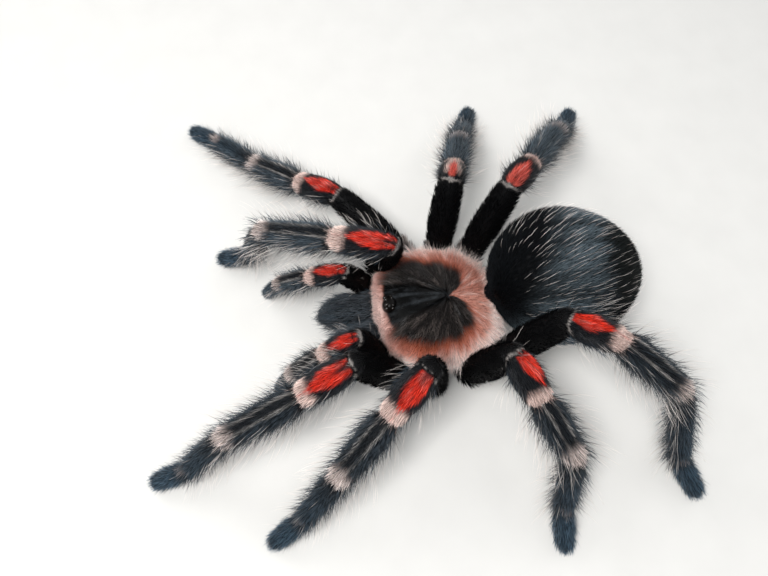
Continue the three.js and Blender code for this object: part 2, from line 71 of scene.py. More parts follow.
cameraData = bpy.data.cameras.new("camera")
cameraData.lens = cameraPlan["lens"]
cameraData.clip_start = 0.005
bpy.context.scene.camera = placeAt(
    "camera", cameraData, cameraPlan["target"], cameraPlan["azimuth"], cameraPlan["elevation"],
    cameraPlan["distance"],
)
for lightName, (azimuth, elevation, distance, size, watts) in lightPlan.items():
    lightData = bpy.data.lights.new(lightName, "AREA")
    lightData.energy = watts
    lightData.size = size * mm
    placeAt(lightName, lightData, (0, 0, 0), azimuth, elevation, distance)

world = bpy.data.worlds.new("studio")
world.use_nodes = True
world.node_tree.nodes["Background"].inputs["Color"].default_value = (0.9, 0.95, 1, 1)
world.node_tree.nodes["Background"].inputs["Strength"].default_value = 0.38
bpy.context.scene.world = world
bpy.context.scene.view_settings.view_transform = "Standard"
print("camera and lights set")

# nodes, colours and meshes


# Add a node. Each input takes a value, an output, or a node, which stands for its first output.
def addNode(tree, kind, settings=None, inputs=None):
    node = tree.nodes.new(kind)
    for key, value in (settings or {}).items():
        setattr(node, key, value)
    for key, value in (inputs or {}).items():
        if isinstance(value, bpy.types.Node):
            value = value.outputs[0]
        if isinstance(value, bpy.types.NodeSocket):
            tree.links.new(value, node.inputs[key])
        else:
            node.inputs[key].default_value = value
    return node


def linear(hexColor):
    channels = [int(hexColor[i:i + 2], 16) / 255 for i in (1, 3, 5)]
    return [c / 12.92 if c <= 0.04045 else ((c + 0.055) / 1.055) ** 2.4 for c in channels] + [1.0]


def newMaterial(name, roughness, ior=1.5, specular=0.5):
    material = bpy.data.materials.new(name)
    material.use_nodes = True
    shader = material.node_tree.nodes["Principled BSDF"]
    shader.inputs["Roughness"].default_value = roughness
    shader.inputs["IOR"].default_value = ior
    shader.inputs["Specular IOR Level"].default_value = specular
    return material, material.node_tree, shader


# A material mottled between two colours by a noise whose grain is in mm.
def mottledMaterial(name, roughness, ior, grainSize, detail, dark, pale):
    material, tree, shader = newMaterial(name, roughness, ior)
    place = addNode(tree, "ShaderNodeTexCoord").outputs["Object"]
    grain = addNode(tree, "ShaderNodeTexNoise",
                    inputs={"Vector": place, "Scale": 1 / (grainSize * mm), "Detail": detail})
    ramp = addNode(tree, "ShaderNodeValToRGB", inputs={"Fac": grain})
    ramp.color_ramp.elements[0].color = linear(dark)
    ramp.color_ramp.elements[1].color = linear(pale)
    tree.links.new(ramp.outputs["Color"], shader.inputs["Base Color"])
    return material


def newPiece(name, mesh, material, replaced=()):
    piece = bpy.data.objects.new(name, mesh)
    bpy.context.collection.objects.link(piece)
    mesh.materials.clear()
    mesh.materials.append(material)
    mesh.shade_smooth()
    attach(piece, "root")
    if replaced:
        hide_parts(*replaced)
    return piece


# A closed loft through rings of points in mm, with the ends closed by fans.
def loft(rings):
    count = len(rings[0])
    points = np.concatenate([*rings, rings[0].mean(0)[None], rings[-1].mean(0)[None]])
    faces = []
    for r in range(len(rings) - 1):
        for i in range(count):
            a, b = r * count + i, r * count + (i + 1) % count
            faces.append((a, b, b + count, a + count))
    first, last = len(points) - 2, len(points) - 1
    base = (len(rings) - 1) * count
    for i in range(count):
        faces.append((first, (i + 1) % count, i))
        faces.append((last, base + i, base + (i + 1) % count))
    return points, faces


# A ring of unit offsets between two directions.
def ringOf(first, second, sides):
    angles = 2 * np.pi * np.arange(sides) / sides
    return np.cos(angles)[:, None] * first + np.sin(angles)[:, None] * second


def meshOf(name, solids):
    points, faces, offset = [], [], 0
    for solidPoints, solidFaces in solids:
        points.append(solidPoints)
        faces += [tuple(v + offset for v in face) for face in solidFaces]
        offset += len(solidPoints)
    mesh = bpy.data.meshes.new(name)
    mesh.from_pydata((np.concatenate(points) * mm).tolist(), [], faces)
    mesh.update()
    return mesh


def meshPoints(mesh, normals=False):
    flat = np.empty(len(mesh.vertices) * 3)
    (mesh.vertex_normals if normals else mesh.vertices).foreach_get("vector" if normals else "co", flat)
    return flat.reshape(-1, 3) if normals else flat.reshape(-1, 3) / mm


def smoothstep(low, high, value):
    t = np.clip((value - low) / (high - low), 0, 1)
    return t * t * (3 - 2 * t)


def unit(vectors):
    return vectors / np.maximum(np.linalg.norm(vectors, axis=-1, keepdims=True), 1e-9)


def alongSurface(way, normals):
    return unit(way - normals * (way * normals).sum(1)[:, None])


# the body plan, in mm and degrees

bodyPlan = {"x": 6, "y": 6.4, "rim": 7.9, "pitch": 5}
limbSizes = {
    "first": {"femur": 19.3, "patella": 11.8, "tibia": 16.7, "metatarsus": 12.9, "tarsus": 8.2,
              "hip": (9.5, 13.2, -2.9)},
    "second": {"femur": 18.8, "patella": 11.2, "tibia": 14.3, "metatarsus": 13, "tarsus": 8.4,
               "hip": (4.1, 15.5, -2)},
    "third": {"femur": 17.2, "patella": 9.1, "tibia": 11.7, "metatarsus": 13.6, "tarsus": 8,
              "hip": (-4.2, 14.7, -1.2)},
    "fourth": {"femur": 20, "patella": 9.9, "tibia": 15.1, "metatarsus": 18.4, "tarsus": 8.1,
               "hip": (-11.1, 12.5, -1.2)},
    "palp": {"femur": 14.8, "patella": 8.4, "tibia": 9.2, "tarsus": 8.4, "hip": (12.8, 8.6, -3.2)},
}
# The turn and lift of the femur and the knee, the lift of the tibia, the turns of the foot's two segments,
# and the heights above the floor of its heel and tip.
limbPoses = {
    "leg_l1": ("first", 1, (3, 61), (14, -24), -15, (15, 3), 5, 1.4),
    "leg_l2": ("second", 1, (48, 80), (35, -27), -22, (31, 21), 5.5, 1.4),
    "leg_l3": ("third", 1, (149, 70), (111, -17), -18, (78, 82), 4.8, 1.4),
    "leg_l4": ("fourth", 1, (174, 62), (137, 16), -23, (103, 109), 4.8, 1.4),
    "leg_r1": ("first", -1, (-76, 108), (-27, -13), -16, (-20, -19), 5, 1.4),
    "leg_r2": ("second", -1, (-50, 15), (-44, -19), -12, (-49, -44), 2.6, 1.4),
    "leg_r3": ("third", -1, (-116, 65), (-113, -39), -19, (-115, -116), 3.8, 1.4),
    "leg_r4": ("fourth", -1, (-153, 66), (-136, -20), -15, (-129, -126), 3, 1.4),
    "palp_l": ("palp", 1, (-8, 72), (5, -31), -41, (5, 5), 0, 2),
    "palp_r": ("palp", -1, (28, 68), (-20, -32), -37, (-26, -26), 0, 2.2),
}
girth = {  # radius of the flesh at shares of the length
    "femur": ((0, 2.25), (0.08, 2.5), (0.4, 2.95), (0.9, 2.6), (1, 2.25)),
    "patella": ((0, 2.1), (0.1, 2.4), (0.45, 2.7), (0.9, 2.4), (1, 2.1)),
    "tibia": ((0, 1.95), (0.1, 2.25), (0.3, 2.45), (0.92, 2), (1, 1.75)),
    "metatarsus": ((0, 1.6), (0.08, 1.8), (0.3, 1.95), (0.93, 1.7), (1, 1.5)),
    "tarsus": ((0, 1.45), (0.1, 1.62), (0.45, 1.75), (0.85, 1.5)),
}
palpGirth = 0.76
coxaPlan = {"start": 6.9, "height": 2.5, "width": 2.6, "narrow": 1.35, "level": -4.1}


def heading(turn):
    return np.array([math.sin(math.radians(turn)), -math.cos(math.radians(turn)), 0.0])


def direction(turn, lift):
    return heading(turn) * math.cos(math.radians(lift)) + np.array([0, 0, math.sin(math.radians(lift))])


bodyMiddle = np.array([bodyPlan["x"], bodyPlan["y"], bodyPlan["rim"]], float)
bodyForward = direction(0, bodyPlan["pitch"])
bodyLeft = heading(90)
bodyUp = np.cross(bodyForward, bodyLeft)


# A point from how far forward, left and above the body's middle it is; bodyAway goes the other way.
def bodyPoint(forward, left, above):
    forward, left, above = (np.asarray(v, float)[..., None] for v in (forward, left, above))
    return bodyMiddle + forward * bodyForward + left * bodyLeft + above * bodyUp


def bodyAway(points, middle=bodyMiddle):
    away = points - middle
    return away @ bodyForward, away @ bodyLeft, away @ bodyUp


# A stretch of flesh round a straight axis: where it runs, and its half widths along the way.
def stretch(name, kind, start, way, length, across, profile, capEnd=None):
    shares, radii = np.array(profile, float).T
    return {
        "name": name, "kind": kind, "start": np.asarray(start), "way": way, "length": length,
        "across": across, "above": np.cross(way, across), "shares": shares, "radii": radii,
        "capEnd": capEnd,
    }


def radiusOf(part, share):
    return np.interp(share, part["shares"], part["radii"])


def stretchSolid(part, sides=20, stations=14):
    rings = []
    circle = ringOf(part["across"], part["above"], sides)
    lastShare = part["shares"][-1]
    firstRadius, lastRadius = radiusOf(part, 0), radiusOf(part, lastShare)
    capLength = part["capEnd"] or lastRadius
    for turn in (80, 60, 40, 20):  # the round start
        at, size = -firstRadius * math.sin(math.radians(turn)), math.cos(math.radians(turn))
        rings.append(part["start"] + part["way"] * at + circle * firstRadius * size)
    for share in np.linspace(0, lastShare, stations):
        rings.append(part["start"] + part["way"] * share * part["length"] + circle * radiusOf(part, share))
    for turn in (20, 40, 60, 80):  # the round end
        at, size = capLength * math.sin(math.radians(turn)), math.cos(math.radians(turn))
        end = part["start"] + part["way"] * (lastShare * part["length"] + at)
        rings.append(end + circle * lastRadius * size)
    return loft(rings)


def limbStretches(name):
    sizeName, side, femur, knee, tibiaLift, foot, heel, tip = limbPoses[name]
    size = limbSizes[sizeName]
    slim = palpGirth if sizeName == "palp" else 1
    turns = {
        "femur": femur[0], "patella": knee[0], "tibia": knee[0], "metatarsus": foot[0], "tarsus": foot[1],
    }
    lifts = {"femur": femur[1], "patella": knee[1], "tibia": tibiaLift}
    ends = {"metatarsus": heel, "tarsus": tip}
    forward, out, above = size["hip"]
    joint = bodyPoint(forward, side * out, above)
    inner = coxaPlan["start"] / math.hypot(forward, out)
    root = bodyPoint(forward * inner, side * out * inner, coxaPlan["level"])
    way = unit(joint - root)
    hipSlim = 0.85 if sizeName == "palp" else 1
    width = coxaPlan["width"]
    hipProfile = ((0, coxaPlan["narrow"]), (0.55, 0.86 * width), (0.8, width), (1, 0.9 * width))
    parts = [stretch(
        name + "_coxa", "coxa", root, way, float(np.linalg.norm(joint - root)),
        -unit(np.cross(way, bodyUp)), [(s, r * hipSlim) for s, r in hipProfile],
        capEnd=0.7 * width * hipSlim,
    )]
    for kind in [k for k in turns if k in size]:
        length = size[kind]
        lift = lifts[kind] if kind in lifts else math.degrees(math.asin((ends[kind] - joint[2]) / length))
        way = direction(turns[kind], lift)
        capEnd = 0.15 * length + 0.2 if kind == "tarsus" else None
        parts.append(stretch(
            name + "_" + kind, kind, joint, way, length, heading(turns[kind] + 90),
            [(s, r * slim) for s, r in girth[kind]], capEnd=capEnd,
        ))
        joint = joint + way * length
    return parts


limbParts = {name: limbStretches(name) for name in limbPoses}

# Behind and blunt say how far its widest part lies behind its middle, and how full it is there.
abdomenPlan = {
    "turn": 179, "neck": 11.4, "height": 13.5, "halfLength": 15.2, "halfWidth": 13.6, "halfHeight": 11.3,
    "behind": 0.08, "blunt": 0.03,
}
abdomenWay = heading(abdomenPlan["turn"])
abdomenLeft = heading(abdomenPlan["turn"] + 90)
abdomenFront = bodyPoint(-abdomenPlan["neck"], 0, 0)
abdomenFront[2] = abdomenPlan["height"]


def abdomenSwell(t):
    return np.sin(t + abdomenPlan["behind"] * np.sin(t)) * (1 - abdomenPlan["blunt"] * np.cos(2 * t))


def abdomenSolid(rings=40, sides=56):
    around = 2 * np.pi * np.arange(sides) / sides
    made = []
    for t in np.linspace(0.03, np.pi - 0.03, rings):
        swell = abdomenSwell(t)
        middle = abdomenFront + abdomenWay * abdomenPlan["halfLength"] * (1 - math.cos(t))
        middle[2] -= 0.4 * math.cos(t) * math.sin(t)
        left = -np.sin(around)[:, None] * abdomenLeft * abdomenPlan["halfWidth"] * swell
        above = np.cos(around)[:, None] * np.array([0, 0, abdomenPlan["halfHeight"] * swell])
        made.append(middle + left + above)
    return loft(made)


spinneretPlan = {"out": 1.5, "lift": -25, "turn": 12, "length": 3.4, "sunk": 3, "radius": 0.8}


def spinneretStretch(side):
    turn = abdomenPlan["turn"] + side * spinneretPlan["turn"]
    way = direction(turn, spinneretPlan["lift"])
    reach = 2 * abdomenPlan["halfLength"] - spinneretPlan["sunk"]
    root = abdomenFront + abdomenWay * reach + abdomenLeft * side * spinneretPlan["out"]
    root[2] = abdomenPlan["height"] - 0.42 * abdomenPlan["halfHeight"]
    radius = spinneretPlan["radius"]
    profile = ((0, radius), (0.45, radius), (0.5, 0.8 * radius), (0.7, 0.9 * radius), (0.76, 0.65 * radius),
               (0.95, 0.4 * radius))
    length = spinneretPlan["length"] + spinneretPlan["sunk"]
    return stretch("spinneret", "spinneret", root, way, length, heading(turn + 90), profile, capEnd=0.3)


cheliceraPlan = {"out": 3.3, "spread": 0.7, "from": 8.5, "to": 23.2, "top": 1.2, "drop": -3.8,
                 "halfWidth": 2.9, "halfHeight": 3.4}
cheliceraLength = cheliceraPlan["to"] - cheliceraPlan["from"]


# The middle line of a chelicera: how far left and how high.
def cheliceraLine(side, share):
    left = side * (cheliceraPlan["out"] + cheliceraPlan["spread"] * share)
    return left, cheliceraPlan["top"] - cheliceraPlan["halfHeight"] + cheliceraPlan["drop"] * share ** 2


# Its size against the widest place: it swells from the carapace, and is blunt at the fang's end.
def cheliceraSize(share):
    if share < 0.6:
        return 0.8 + 0.2 * smoothstep(0, 0.3, share)
    return math.sqrt(max(1 - ((share - 0.6) / 0.4) ** 2.6, 0))


def cheliceraSolid(side, rings=26, sides=32):
    angles = 2 * np.pi * np.arange(sides) / sides
    made = []
    for share in [*np.linspace(0, 0.9, rings), 0.93, 0.955, 0.975, 0.99]:
        size = cheliceraSize(share)
        made.append(
            bodyPoint(cheliceraPlan["from"] + share * cheliceraLength, *cheliceraLine(side, share))
            + np.cos(angles)[:, None] * bodyLeft * cheliceraPlan["halfWidth"] * size
            + np.sin(angles)[:, None] * bodyUp * cheliceraPlan["halfHeight"] * size
        )
    return loft(made)


# A closed ellipsoid on three half axes.
def ellipsoid(middle, axes, sides=32, rings=16):
    circle = ringOf(axes[1], axes[2], sides)
    turns = np.linspace(0.08, np.pi - 0.08, rings)
    return loft([middle + axes[0] * math.cos(t) + circle * math.sin(t) for t in turns[::-1]])


# The trunk joins the hips under the carapace, the sternum closes it below, and the waist meets the abdomen.
trunkPlan = {"halfLength": 11, "halfWidth": 10, "halfHeight": 3.2, "middle": -2.2}
sternumPlan = {"halfLength": 7, "halfWidth": 6, "halfHeight": 2.1, "middle": -4.2}
waistPlan = {"forward": -9, "above": -2, "length": 8, "intoAbdomen": 4}


def bodyEllipsoid(plan):
    axes = (bodyForward * plan["halfLength"], bodyLeft * plan["halfWidth"], bodyUp * plan["halfHeight"])
    return ellipsoid(bodyPoint(0, 0, plan["middle"]), axes)


# the skin

skinPlan = {"voxel": 0.45, "smoothing": 3, "floor": 0.06}  # mm, times, mm

waistStart = bodyPoint(waistPlan["forward"], 0, waistPlan["above"])
waistWay = unit(abdomenFront + abdomenWay * waistPlan["intoAbdomen"] - waistStart)
waist = stretch("waist", "waist", waistStart, waistWay, waistPlan["length"], bodyLeft,
                ((0, 2.2), (0.5, 1.6), (1, 2.4)))
spinnerets = [spinneretStretch(side) for side in (1, -1)]
fleshParts = [part for parts in limbParts.values() for part in parts] + spinnerets + [waist]
solids = [stretchSolid(part) for part in fleshParts]
solids += [cheliceraSolid(1), cheliceraSolid(-1), abdomenSolid()]
solids += [bodyEllipsoid(trunkPlan), bodyEllipsoid(sternumPlan)]


def evaluatedCopy(thing, name):
    graph = bpy.context.evaluated_depsgraph_get()
    mesh = bpy.data.meshes.new_from_object(thing.evaluated_get(graph))
    mesh.name = name
    old = thing.data
    bpy.data.objects.remove(thing)
    bpy.data.meshes.remove(old)
    return mesh


def remeshed(name, roughMesh):
    thing = bpy.data.objects.new(name, roughMesh)
    bpy.context.collection.objects.link(thing)
    remesh = thing.modifiers.new("remesh", "REMESH")
    remesh.mode = "VOXEL"
    remesh.voxel_size = skinPlan["voxel"] * mm
    smooth = thing.modifiers.new("smooth", "SMOOTH")
    smooth.factor = 0.5
    smooth.iterations = skinPlan["smoothing"]
    return evaluatedCopy(thing, name)


skinMesh = remeshed("skin", meshOf("flesh", solids))
skinPoints = meshPoints(skinMesh)
skinPoints[:, 2] = np.maximum(skinPoints[:, 2], skinPlan["floor"])
skinMesh.vertices.foreach_set("co", (skinPoints * mm).ravel())
skinMesh.update()
skinNormals = meshPoints(skinMesh, normals=True)
print("skin made:", len(skinMesh.polygons), "faces")

# Where each point of the skin lies: each of these tells about how far it is outside a part in mm, how far
# along the part as a share, and how far round it from the upper line in degrees.


def stretchPlace(part, points):
    away = points - part["start"]
    at = away @ part["way"]
    across, above = away @ part["across"], away @ part["above"]
    share = at / part["length"]
    inside = np.clip(at, 0, part["length"] * part["shares"][-1])
    reach = np.sqrt((at - inside) ** 2 + across ** 2 + above ** 2)
    # the skin on top of a joint belongs to the knee behind it
    over = 0.5 * smoothstep(-0.5, 1, above) * (at < 0) if part["kind"] == "patella" else 0
    return reach - radiusOf(part, np.clip(share, 0, 1)) - over, share, np.degrees(np.arctan2(across, above))


def abdomenPlace(points):
    away = points - abdomenFront
    at = away @ abdomenWay
    left, above = away @ abdomenLeft, away[:, 2]
    along = np.clip(1 - at / abdomenPlan["halfLength"], -1, 1)
    t = np.arccos(along)
    swell = np.maximum(abdomenSwell(t), 0.05)
    reach = np.hypot(left / abdomenPlan["halfWidth"], above / abdomenPlan["halfHeight"])
    beyond = np.maximum(np.maximum(-at, at - 2 * abdomenPlan["halfLength"]), 0)
    return (reach - swell) * 8 + beyond * 2, t / np.pi, np.degrees(np.arctan2(left, above))


# The trunk is seen only from below, so the turn round it is counted from its lower line.
trunkReach = {"forward": 10, "left": 9, "above": 4}  # mm


def trunkPlace(points):
    forward, left, above = bodyAway(points, bodyPoint(0, 0, sternumPlan["middle"]))
    reach = np.sqrt((forward / trunkReach["forward"]) ** 2 + (left / trunkReach["left"]) ** 2
                    + (above / trunkReach["above"]) ** 2)
    share = forward / (2 * trunkReach["forward"]) + 0.5
    return (reach - 1) * 5, share, np.degrees(np.arctan2(left, -above))


def cheliceraPlace(side, points):
    forward, left, above = bodyAway(points)
    share = (forward - cheliceraPlan["from"]) / cheliceraLength
    inside = np.clip(share, 0, 1)
    middleLeft, middleAbove = cheliceraLine(side, inside)
    left, above = left - middleLeft, above - middleAbove
    reach = np.hypot(left / cheliceraPlan["halfWidth"], above / cheliceraPlan["halfHeight"])
    size = np.array([cheliceraSize(s) for s in inside])
    beyond = np.maximum(-share, 0) * cheliceraLength
    return (reach - np.maximum(size, 0.3)) * 2.8 + beyond, share, np.degrees(np.arctan2(left, above))


places = [(part["kind"], part["name"], part["way"], lambda p, part=part: stretchPlace(part, p))
          for part in fleshParts]
places.append(("abdomen", "abdomen", abdomenWay, abdomenPlace))
places.append(("trunk", "trunk", -bodyForward, trunkPlace))
for side in (1, -1):
    places.append(("chelicera", "chelicera", bodyForward, lambda p, side=side: cheliceraPlace(side, p)))

kindOf = np.array([place[0] for place in places])
nameOf = np.array([place[1] for place in places])
wayOf = np.array([place[2] for place in places])
distances, shares, rounds = (np.array(v) for v in zip(*[place[3](skinPoints) for place in places]))
nearest = distances.argmin(0)
everyPoint = np.arange(len(skinPoints))
share, around = shares[nearest, everyPoint], rounds[nearest, everyPoint]
kind = kindOf[nearest]
aroundTop = np.abs(around)

# The way the hair lies: along each part, but on the abdomen slanting to one side, and then towards the
# spinnerets.
abdomenSlant = 206  # degrees
lie = wayOf[nearest]
betweenSpinnerets = spinnerets[0]["start"] * 0.5 + spinnerets[1]["start"] * 0.5
toSpinnerets = unit(betweenSpinnerets + abdomenWay * 4 - skinPoints)
pull = ((kind == "abdomen") * smoothstep(0.75, 0.97, share))[:, None]
slant = ((kind == "abdomen") * 0.5 * smoothstep(-0.4, 0.2, skinNormals[:, 2]))[:, None]
lie = lie * (1 - slant) + heading(abdomenSlant) * slant
lie = alongSurface(lie * (1 - pull) + toSpinnerets * pull, skinNormals)
fleshLengths = {part["name"]: part["length"] for part in fleshParts}
otherLength = 20.0  # mm, for a part that isn't a stretch
lengths = np.array([fleshLengths.get(name, otherLength) for name in nameOf])[nearest]
fromStart = share * lengths  # mm
toEnd = (1 - share) * lengths
slimmer = np.where(np.char.startswith(nameOf, "palp")[nearest], 0.8, 1.0)
print("skin mapped")

# The unwrap for baking the hair, by where its roots are: a cell for each part, its length by its girth,
# with room at the far edges for each bristle's own patch.
unwrapColumns = 8
unwrapRows = math.ceil(len(places) / unwrapColumns)


def unwrapPlace(partIndex, partShare, partAround):
    row, column = np.divmod(partIndex, unwrapColumns)
    u = (column + 0.08 + 0.8 * np.clip(partShare, -0.1, 1.1)) / unwrapColumns
    v = (row + 0.48 + 0.72 * np.clip(partAround, -235, 235) / 360) / unwrapRows
    return np.stack([u, v, np.zeros_like(u)], -1)


# The corners of a mesh: the point of each, the first of each face, how many a face has, and whose each is.
def meshCorners(mesh):
    point = np.empty(len(mesh.loops), int)
    mesh.loops.foreach_get("vertex_index", point)
    start = np.empty(len(mesh.polygons), int)
    mesh.polygons.foreach_get("loop_start", start)
    total = np.empty(len(mesh.polygons), int)
    mesh.polygons.foreach_get("loop_total", total)
    return {"loopPoint": point, "loopStart": start, "loopTotal": total,
            "loopFace": np.repeat(np.arange(len(total)), total)}


skinCorners = meshCorners(skinMesh)
loopPoint, loopStart, loopFace = (skinCorners[key] for key in ("loopPoint", "loopStart", "loopFace"))
loopPart = nearest[loopPoint[loopStart]][loopFace]
loopShare, loopAround = shares[loopPart, loopPoint], rounds[loopPart, loopPoint]
firstAround = loopAround[loopStart][loopFace]
loopAround = loopAround + 360 * np.round((firstAround - loopAround) / 360)  # no face spans the seam
loopUnwrap = unwrapPlace(loopPart, loopShare, loopAround)

# the coat's markings, shared by the skin and the hair

coatColors = {  # root and tip
    "velvet": ("#020203", "#08080a"),
    "black": ("#050608", "#15191f"),
    "blue": ("#080a0d", "#2c353d"),
    "brush": ("#0d1319", "#465b6b"),
    "flame": ("#8e1006", "#f23a22"),
    "pale": ("#94766d", "#eed5cb"),
    "cuff": ("#84746e", "#e8d9d2"),
    "rim": ("#6f6864", "#cfc6c0"),
    "line": ("#74706c", "#cdc7c2"),
    "tuft": ("#4a4442", "#b3a8a2"),
    # the legs' painted grey sheen: grazing light reflected off the hair
    "paintedGreySheen": ("#1d242a", "#7b8b96"),
    "salmon": ("#b4473b", "#ff9382"),
    "sheen": ("#020203", "#0c0f12"),
    # the abdomen's painted sheen: a blue-grey band of reflected light on the hair
    "paintedSheenBand": ("#121516", "#728088"),
    "patch": ("#060707", "#202423"),
    "steel": ("#0d0e10", "#474d53"),
}


def mixInto(colors, name, weight):
    weight = np.asarray(weight, float)[:, None]
    for i in (0, 1):
        colors[i] = colors[i] * (1 - weight) + np.array(linear(coatColors[name][i])) * weight


def fieldNoise(points, scale, seed):
    return np.array([noise.noise(Vector(p) / scale + Vector((seed, 0, 0))) for p in points])


# How far the marks of each knee reach over its joint, and where its flame ends, in mm along the patella.
# How wide the flame is to each side, how far it is rolled round the leg, and how much wider its pale ring
# is, in degrees. The share of its width that it starts with, how deep the dark notch in its start is, and
# the share of the patella where the pale band starts.
kneeMarks = {
    "leg_l1": (0.1, 9.7, 45, 10, 0, 0.65, 1, 0.71),
    "leg_l2": (-0.1, 8.7, 45, 18, 0, 0.6, 0.7, 0.7),
    "leg_l3": (0.5, 6.1, 46, 24, 0, 0.65, 0, 0.74),
    "leg_l4": (-0.9, 8.2, 40, 0, 0, 0.4, 0, 0.82),
    "leg_r1": (1.9, 8.2, 45, 8, 0, 0.65, 1, 0.7),
    "leg_r2": (1.4, 7.9, 42, 0, 0, 0.6, 0.6, 0.72),
    "leg_r3": (2.0, 3.9, 22, 0, 24, 0.9, 0, 0.72),
    "leg_r4": (1.8, 6.3, 42, -8, 0, 0.8, 0.5, 0.78),
    "palp_l": (1.1, 5.5, 40, 4, 0, 0.6, 1, 0.7),
    "palp_r": (1.6, 5.8, 42, 0, 0, 0.6, 0.6, 0.7),
}
limbOf = np.array([name.rsplit("_", 1)[0] for name in nameOf])[nearest]
reach, flameEnd, flameHalf, flameRoll, ringWidth, flameStartWidth, notchDepth, bandFrom = (
    sum(np.where(limbOf == name, marks[i], 0.0) for name, marks in kneeMarks.items()) for i in range(8))
# The right legs carry a painted grey sheen, the reflection of grazing light on their hair, strongest on the
# far ones.
rightLimbs = np.isin(limbOf, ("leg_r1", "leg_r2", "palp_r"))
farLegs = np.isin(limbOf, ("leg_r3", "leg_r4"))  # greyer, with softer marks
fromRim = fromStart + reach - 0.9 * smoothstep(40, 90, aroundTop)  # mm from the pale rim at the joint
# The black patch on top of the abdomen's rear: 0 in its middle and 1 at its edge.
rearPatch = {"share": 0.76, "halfLength": 0.17, "roll": -15, "halfWidth": 62}
fromPatch = ((share - rearPatch["share"]) ** 2 / rearPatch["halfLength"] ** 2
             + ((around - rearPatch["roll"]) / rearPatch["halfWidth"]) ** 2)


# The knee: a flame along the back that a dark notch splits, a pale band before the tibia, and a pale rim.
def markKnees(colors, grain):
    knee = kind == "patella"
    bandStart = bandFrom + 0.05 * grain + 0.07 * smoothstep(60, 100, aroundTop)
    mixInto(colors, "pale", knee * smoothstep(-0.02, 0.03, share - bandStart)
            * smoothstep(115, 92, aroundTop))
    flameStart = 0.35 - reach
    fromRoll = np.abs(around - flameRoll)
    t = np.clip((fromStart - flameStart) / np.maximum(flameEnd - flameStart, 0.1), 0, 1)
    widening = flameStartWidth + (1 - flameStartWidth) * smoothstep(0, 0.5, t)
    halfWidth = 1.2 * flameHalf * (1 - t ** 1.6) * widening
    notch = notchDepth * smoothstep(2, -2, fromRoll - 15 * (1 - t / 0.3)) * (t < 0.3)
    flame = knee * smoothstep(2.5, -2.5, fromRoll - halfWidth - 4 * grain)
    flame = flame * smoothstep(-0.1, 0.2, fromStart - flameStart)
    ring = knee * smoothstep(3, -3, fromRoll - halfWidth - ringWidth) * (ringWidth > 0)
    mixInto(colors, "pale", ring * smoothstep(-1, -0.6, fromStart))
    mixInto(colors, "flame", flame * (1 - 0.95 * notch))
    mixInto(colors, "salmon", flame * (1 - notch) * farLegs * 0.55)
    # darker and paler hairs run through the flame
    hairs = fieldNoise(np.stack([around / 5, fromStart / 2.5, nearest * 7.0], -1), 1, 41)
    streaky = flame * (1 - notch) * np.where(farLegs, 0.3, 1)
    mixInto(colors, "black", streaky * 0.55 * smoothstep(0.15, 0.5, hairs))
    mixInto(colors, "pale", streaky * 0.3 * smoothstep(-0.15, -0.5, hairs))
    mixInto(colors, "rim", knee * smoothstep(0.28, 0.14, np.abs(fromRim + 0.16 * grain))
            * smoothstep(110, 90, aroundTop) * np.clip(0.75 + 0.8 * grain, 0.2, 1))
    mixInto(colors, "velvet", knee * smoothstep(-0.18, -0.32, fromRim))


# The tibia and metatarsus: a black back between fine pale lines, a painted grey sheen of grazing light on
# the right legs, and a pale cuff at the end.
def markShins(colors, grain):
    shin = kind == "tibia"
    metatarsus = kind == "metatarsus"
    mixInto(colors, "black", shin * smoothstep(34, 26, aroundTop) * 0.8)
    fromLine = np.abs(aroundTop - 25) * np.pi / 180 * 2.4 * slimmer  # mm
    line = shin * smoothstep(0.22, 0.08, fromLine) * smoothstep(0.9, 0.6, share)
    mixInto(colors, "line", line * np.clip(0.75 + grain, 0, 1) * np.where(farLegs, 0.3, 1))
    # painted sheen: grazing light greys the right legs' shins
    paintedGreySheen = 0.55 * farLegs + 0.35 * rightLimbs * smoothstep(20, 50, aroundTop)
    mixInto(colors, "paintedGreySheen", (shin | metatarsus) * paintedGreySheen)
    mixInto(colors, "cuff", shin * smoothstep(3.2, 1.5, (toEnd + 0.8 * grain) / slimmer)
            * smoothstep(105, 80, aroundTop) * np.where(farLegs, 0.5, 1))
    mixInto(colors, "cuff", metatarsus * smoothstep(1.7, 1.2, toEnd + 0.3 * grain)
            * smoothstep(44, 28, aroundTop) * np.where(limbOf == "leg_r2", 0.9, 0.3))


# The abdomen: a painted sheen, a blue-grey band of reflected light slanting across the middle, and the
# blacker patch behind it.
def markAbdomen(colors, grain):
    onAbdomen = kind == "abdomen"
    streaks = fieldNoise(np.stack([share * 3, around / 12, share * 0], -1), 1, 7)
    # the painted sheen band slants across the abdomen as the light's reflection does
    fromSheenBand = np.abs(share - 0.53 - 0.002 * np.clip(around, -90, 90))
    paintedSheenBand = np.clip(smoothstep(0.23, 0.02, fromSheenBand) * (0.75 + 0.9 * streaks), 0, 1)
    mixInto(colors, "paintedSheenBand", onAbdomen * paintedSheenBand)
    patch = smoothstep(1.4, 0.5, fromPatch + 0.5 * grain + 0.3 * streaks)
    mixInto(colors, "patch", onAbdomen * patch * 0.9)


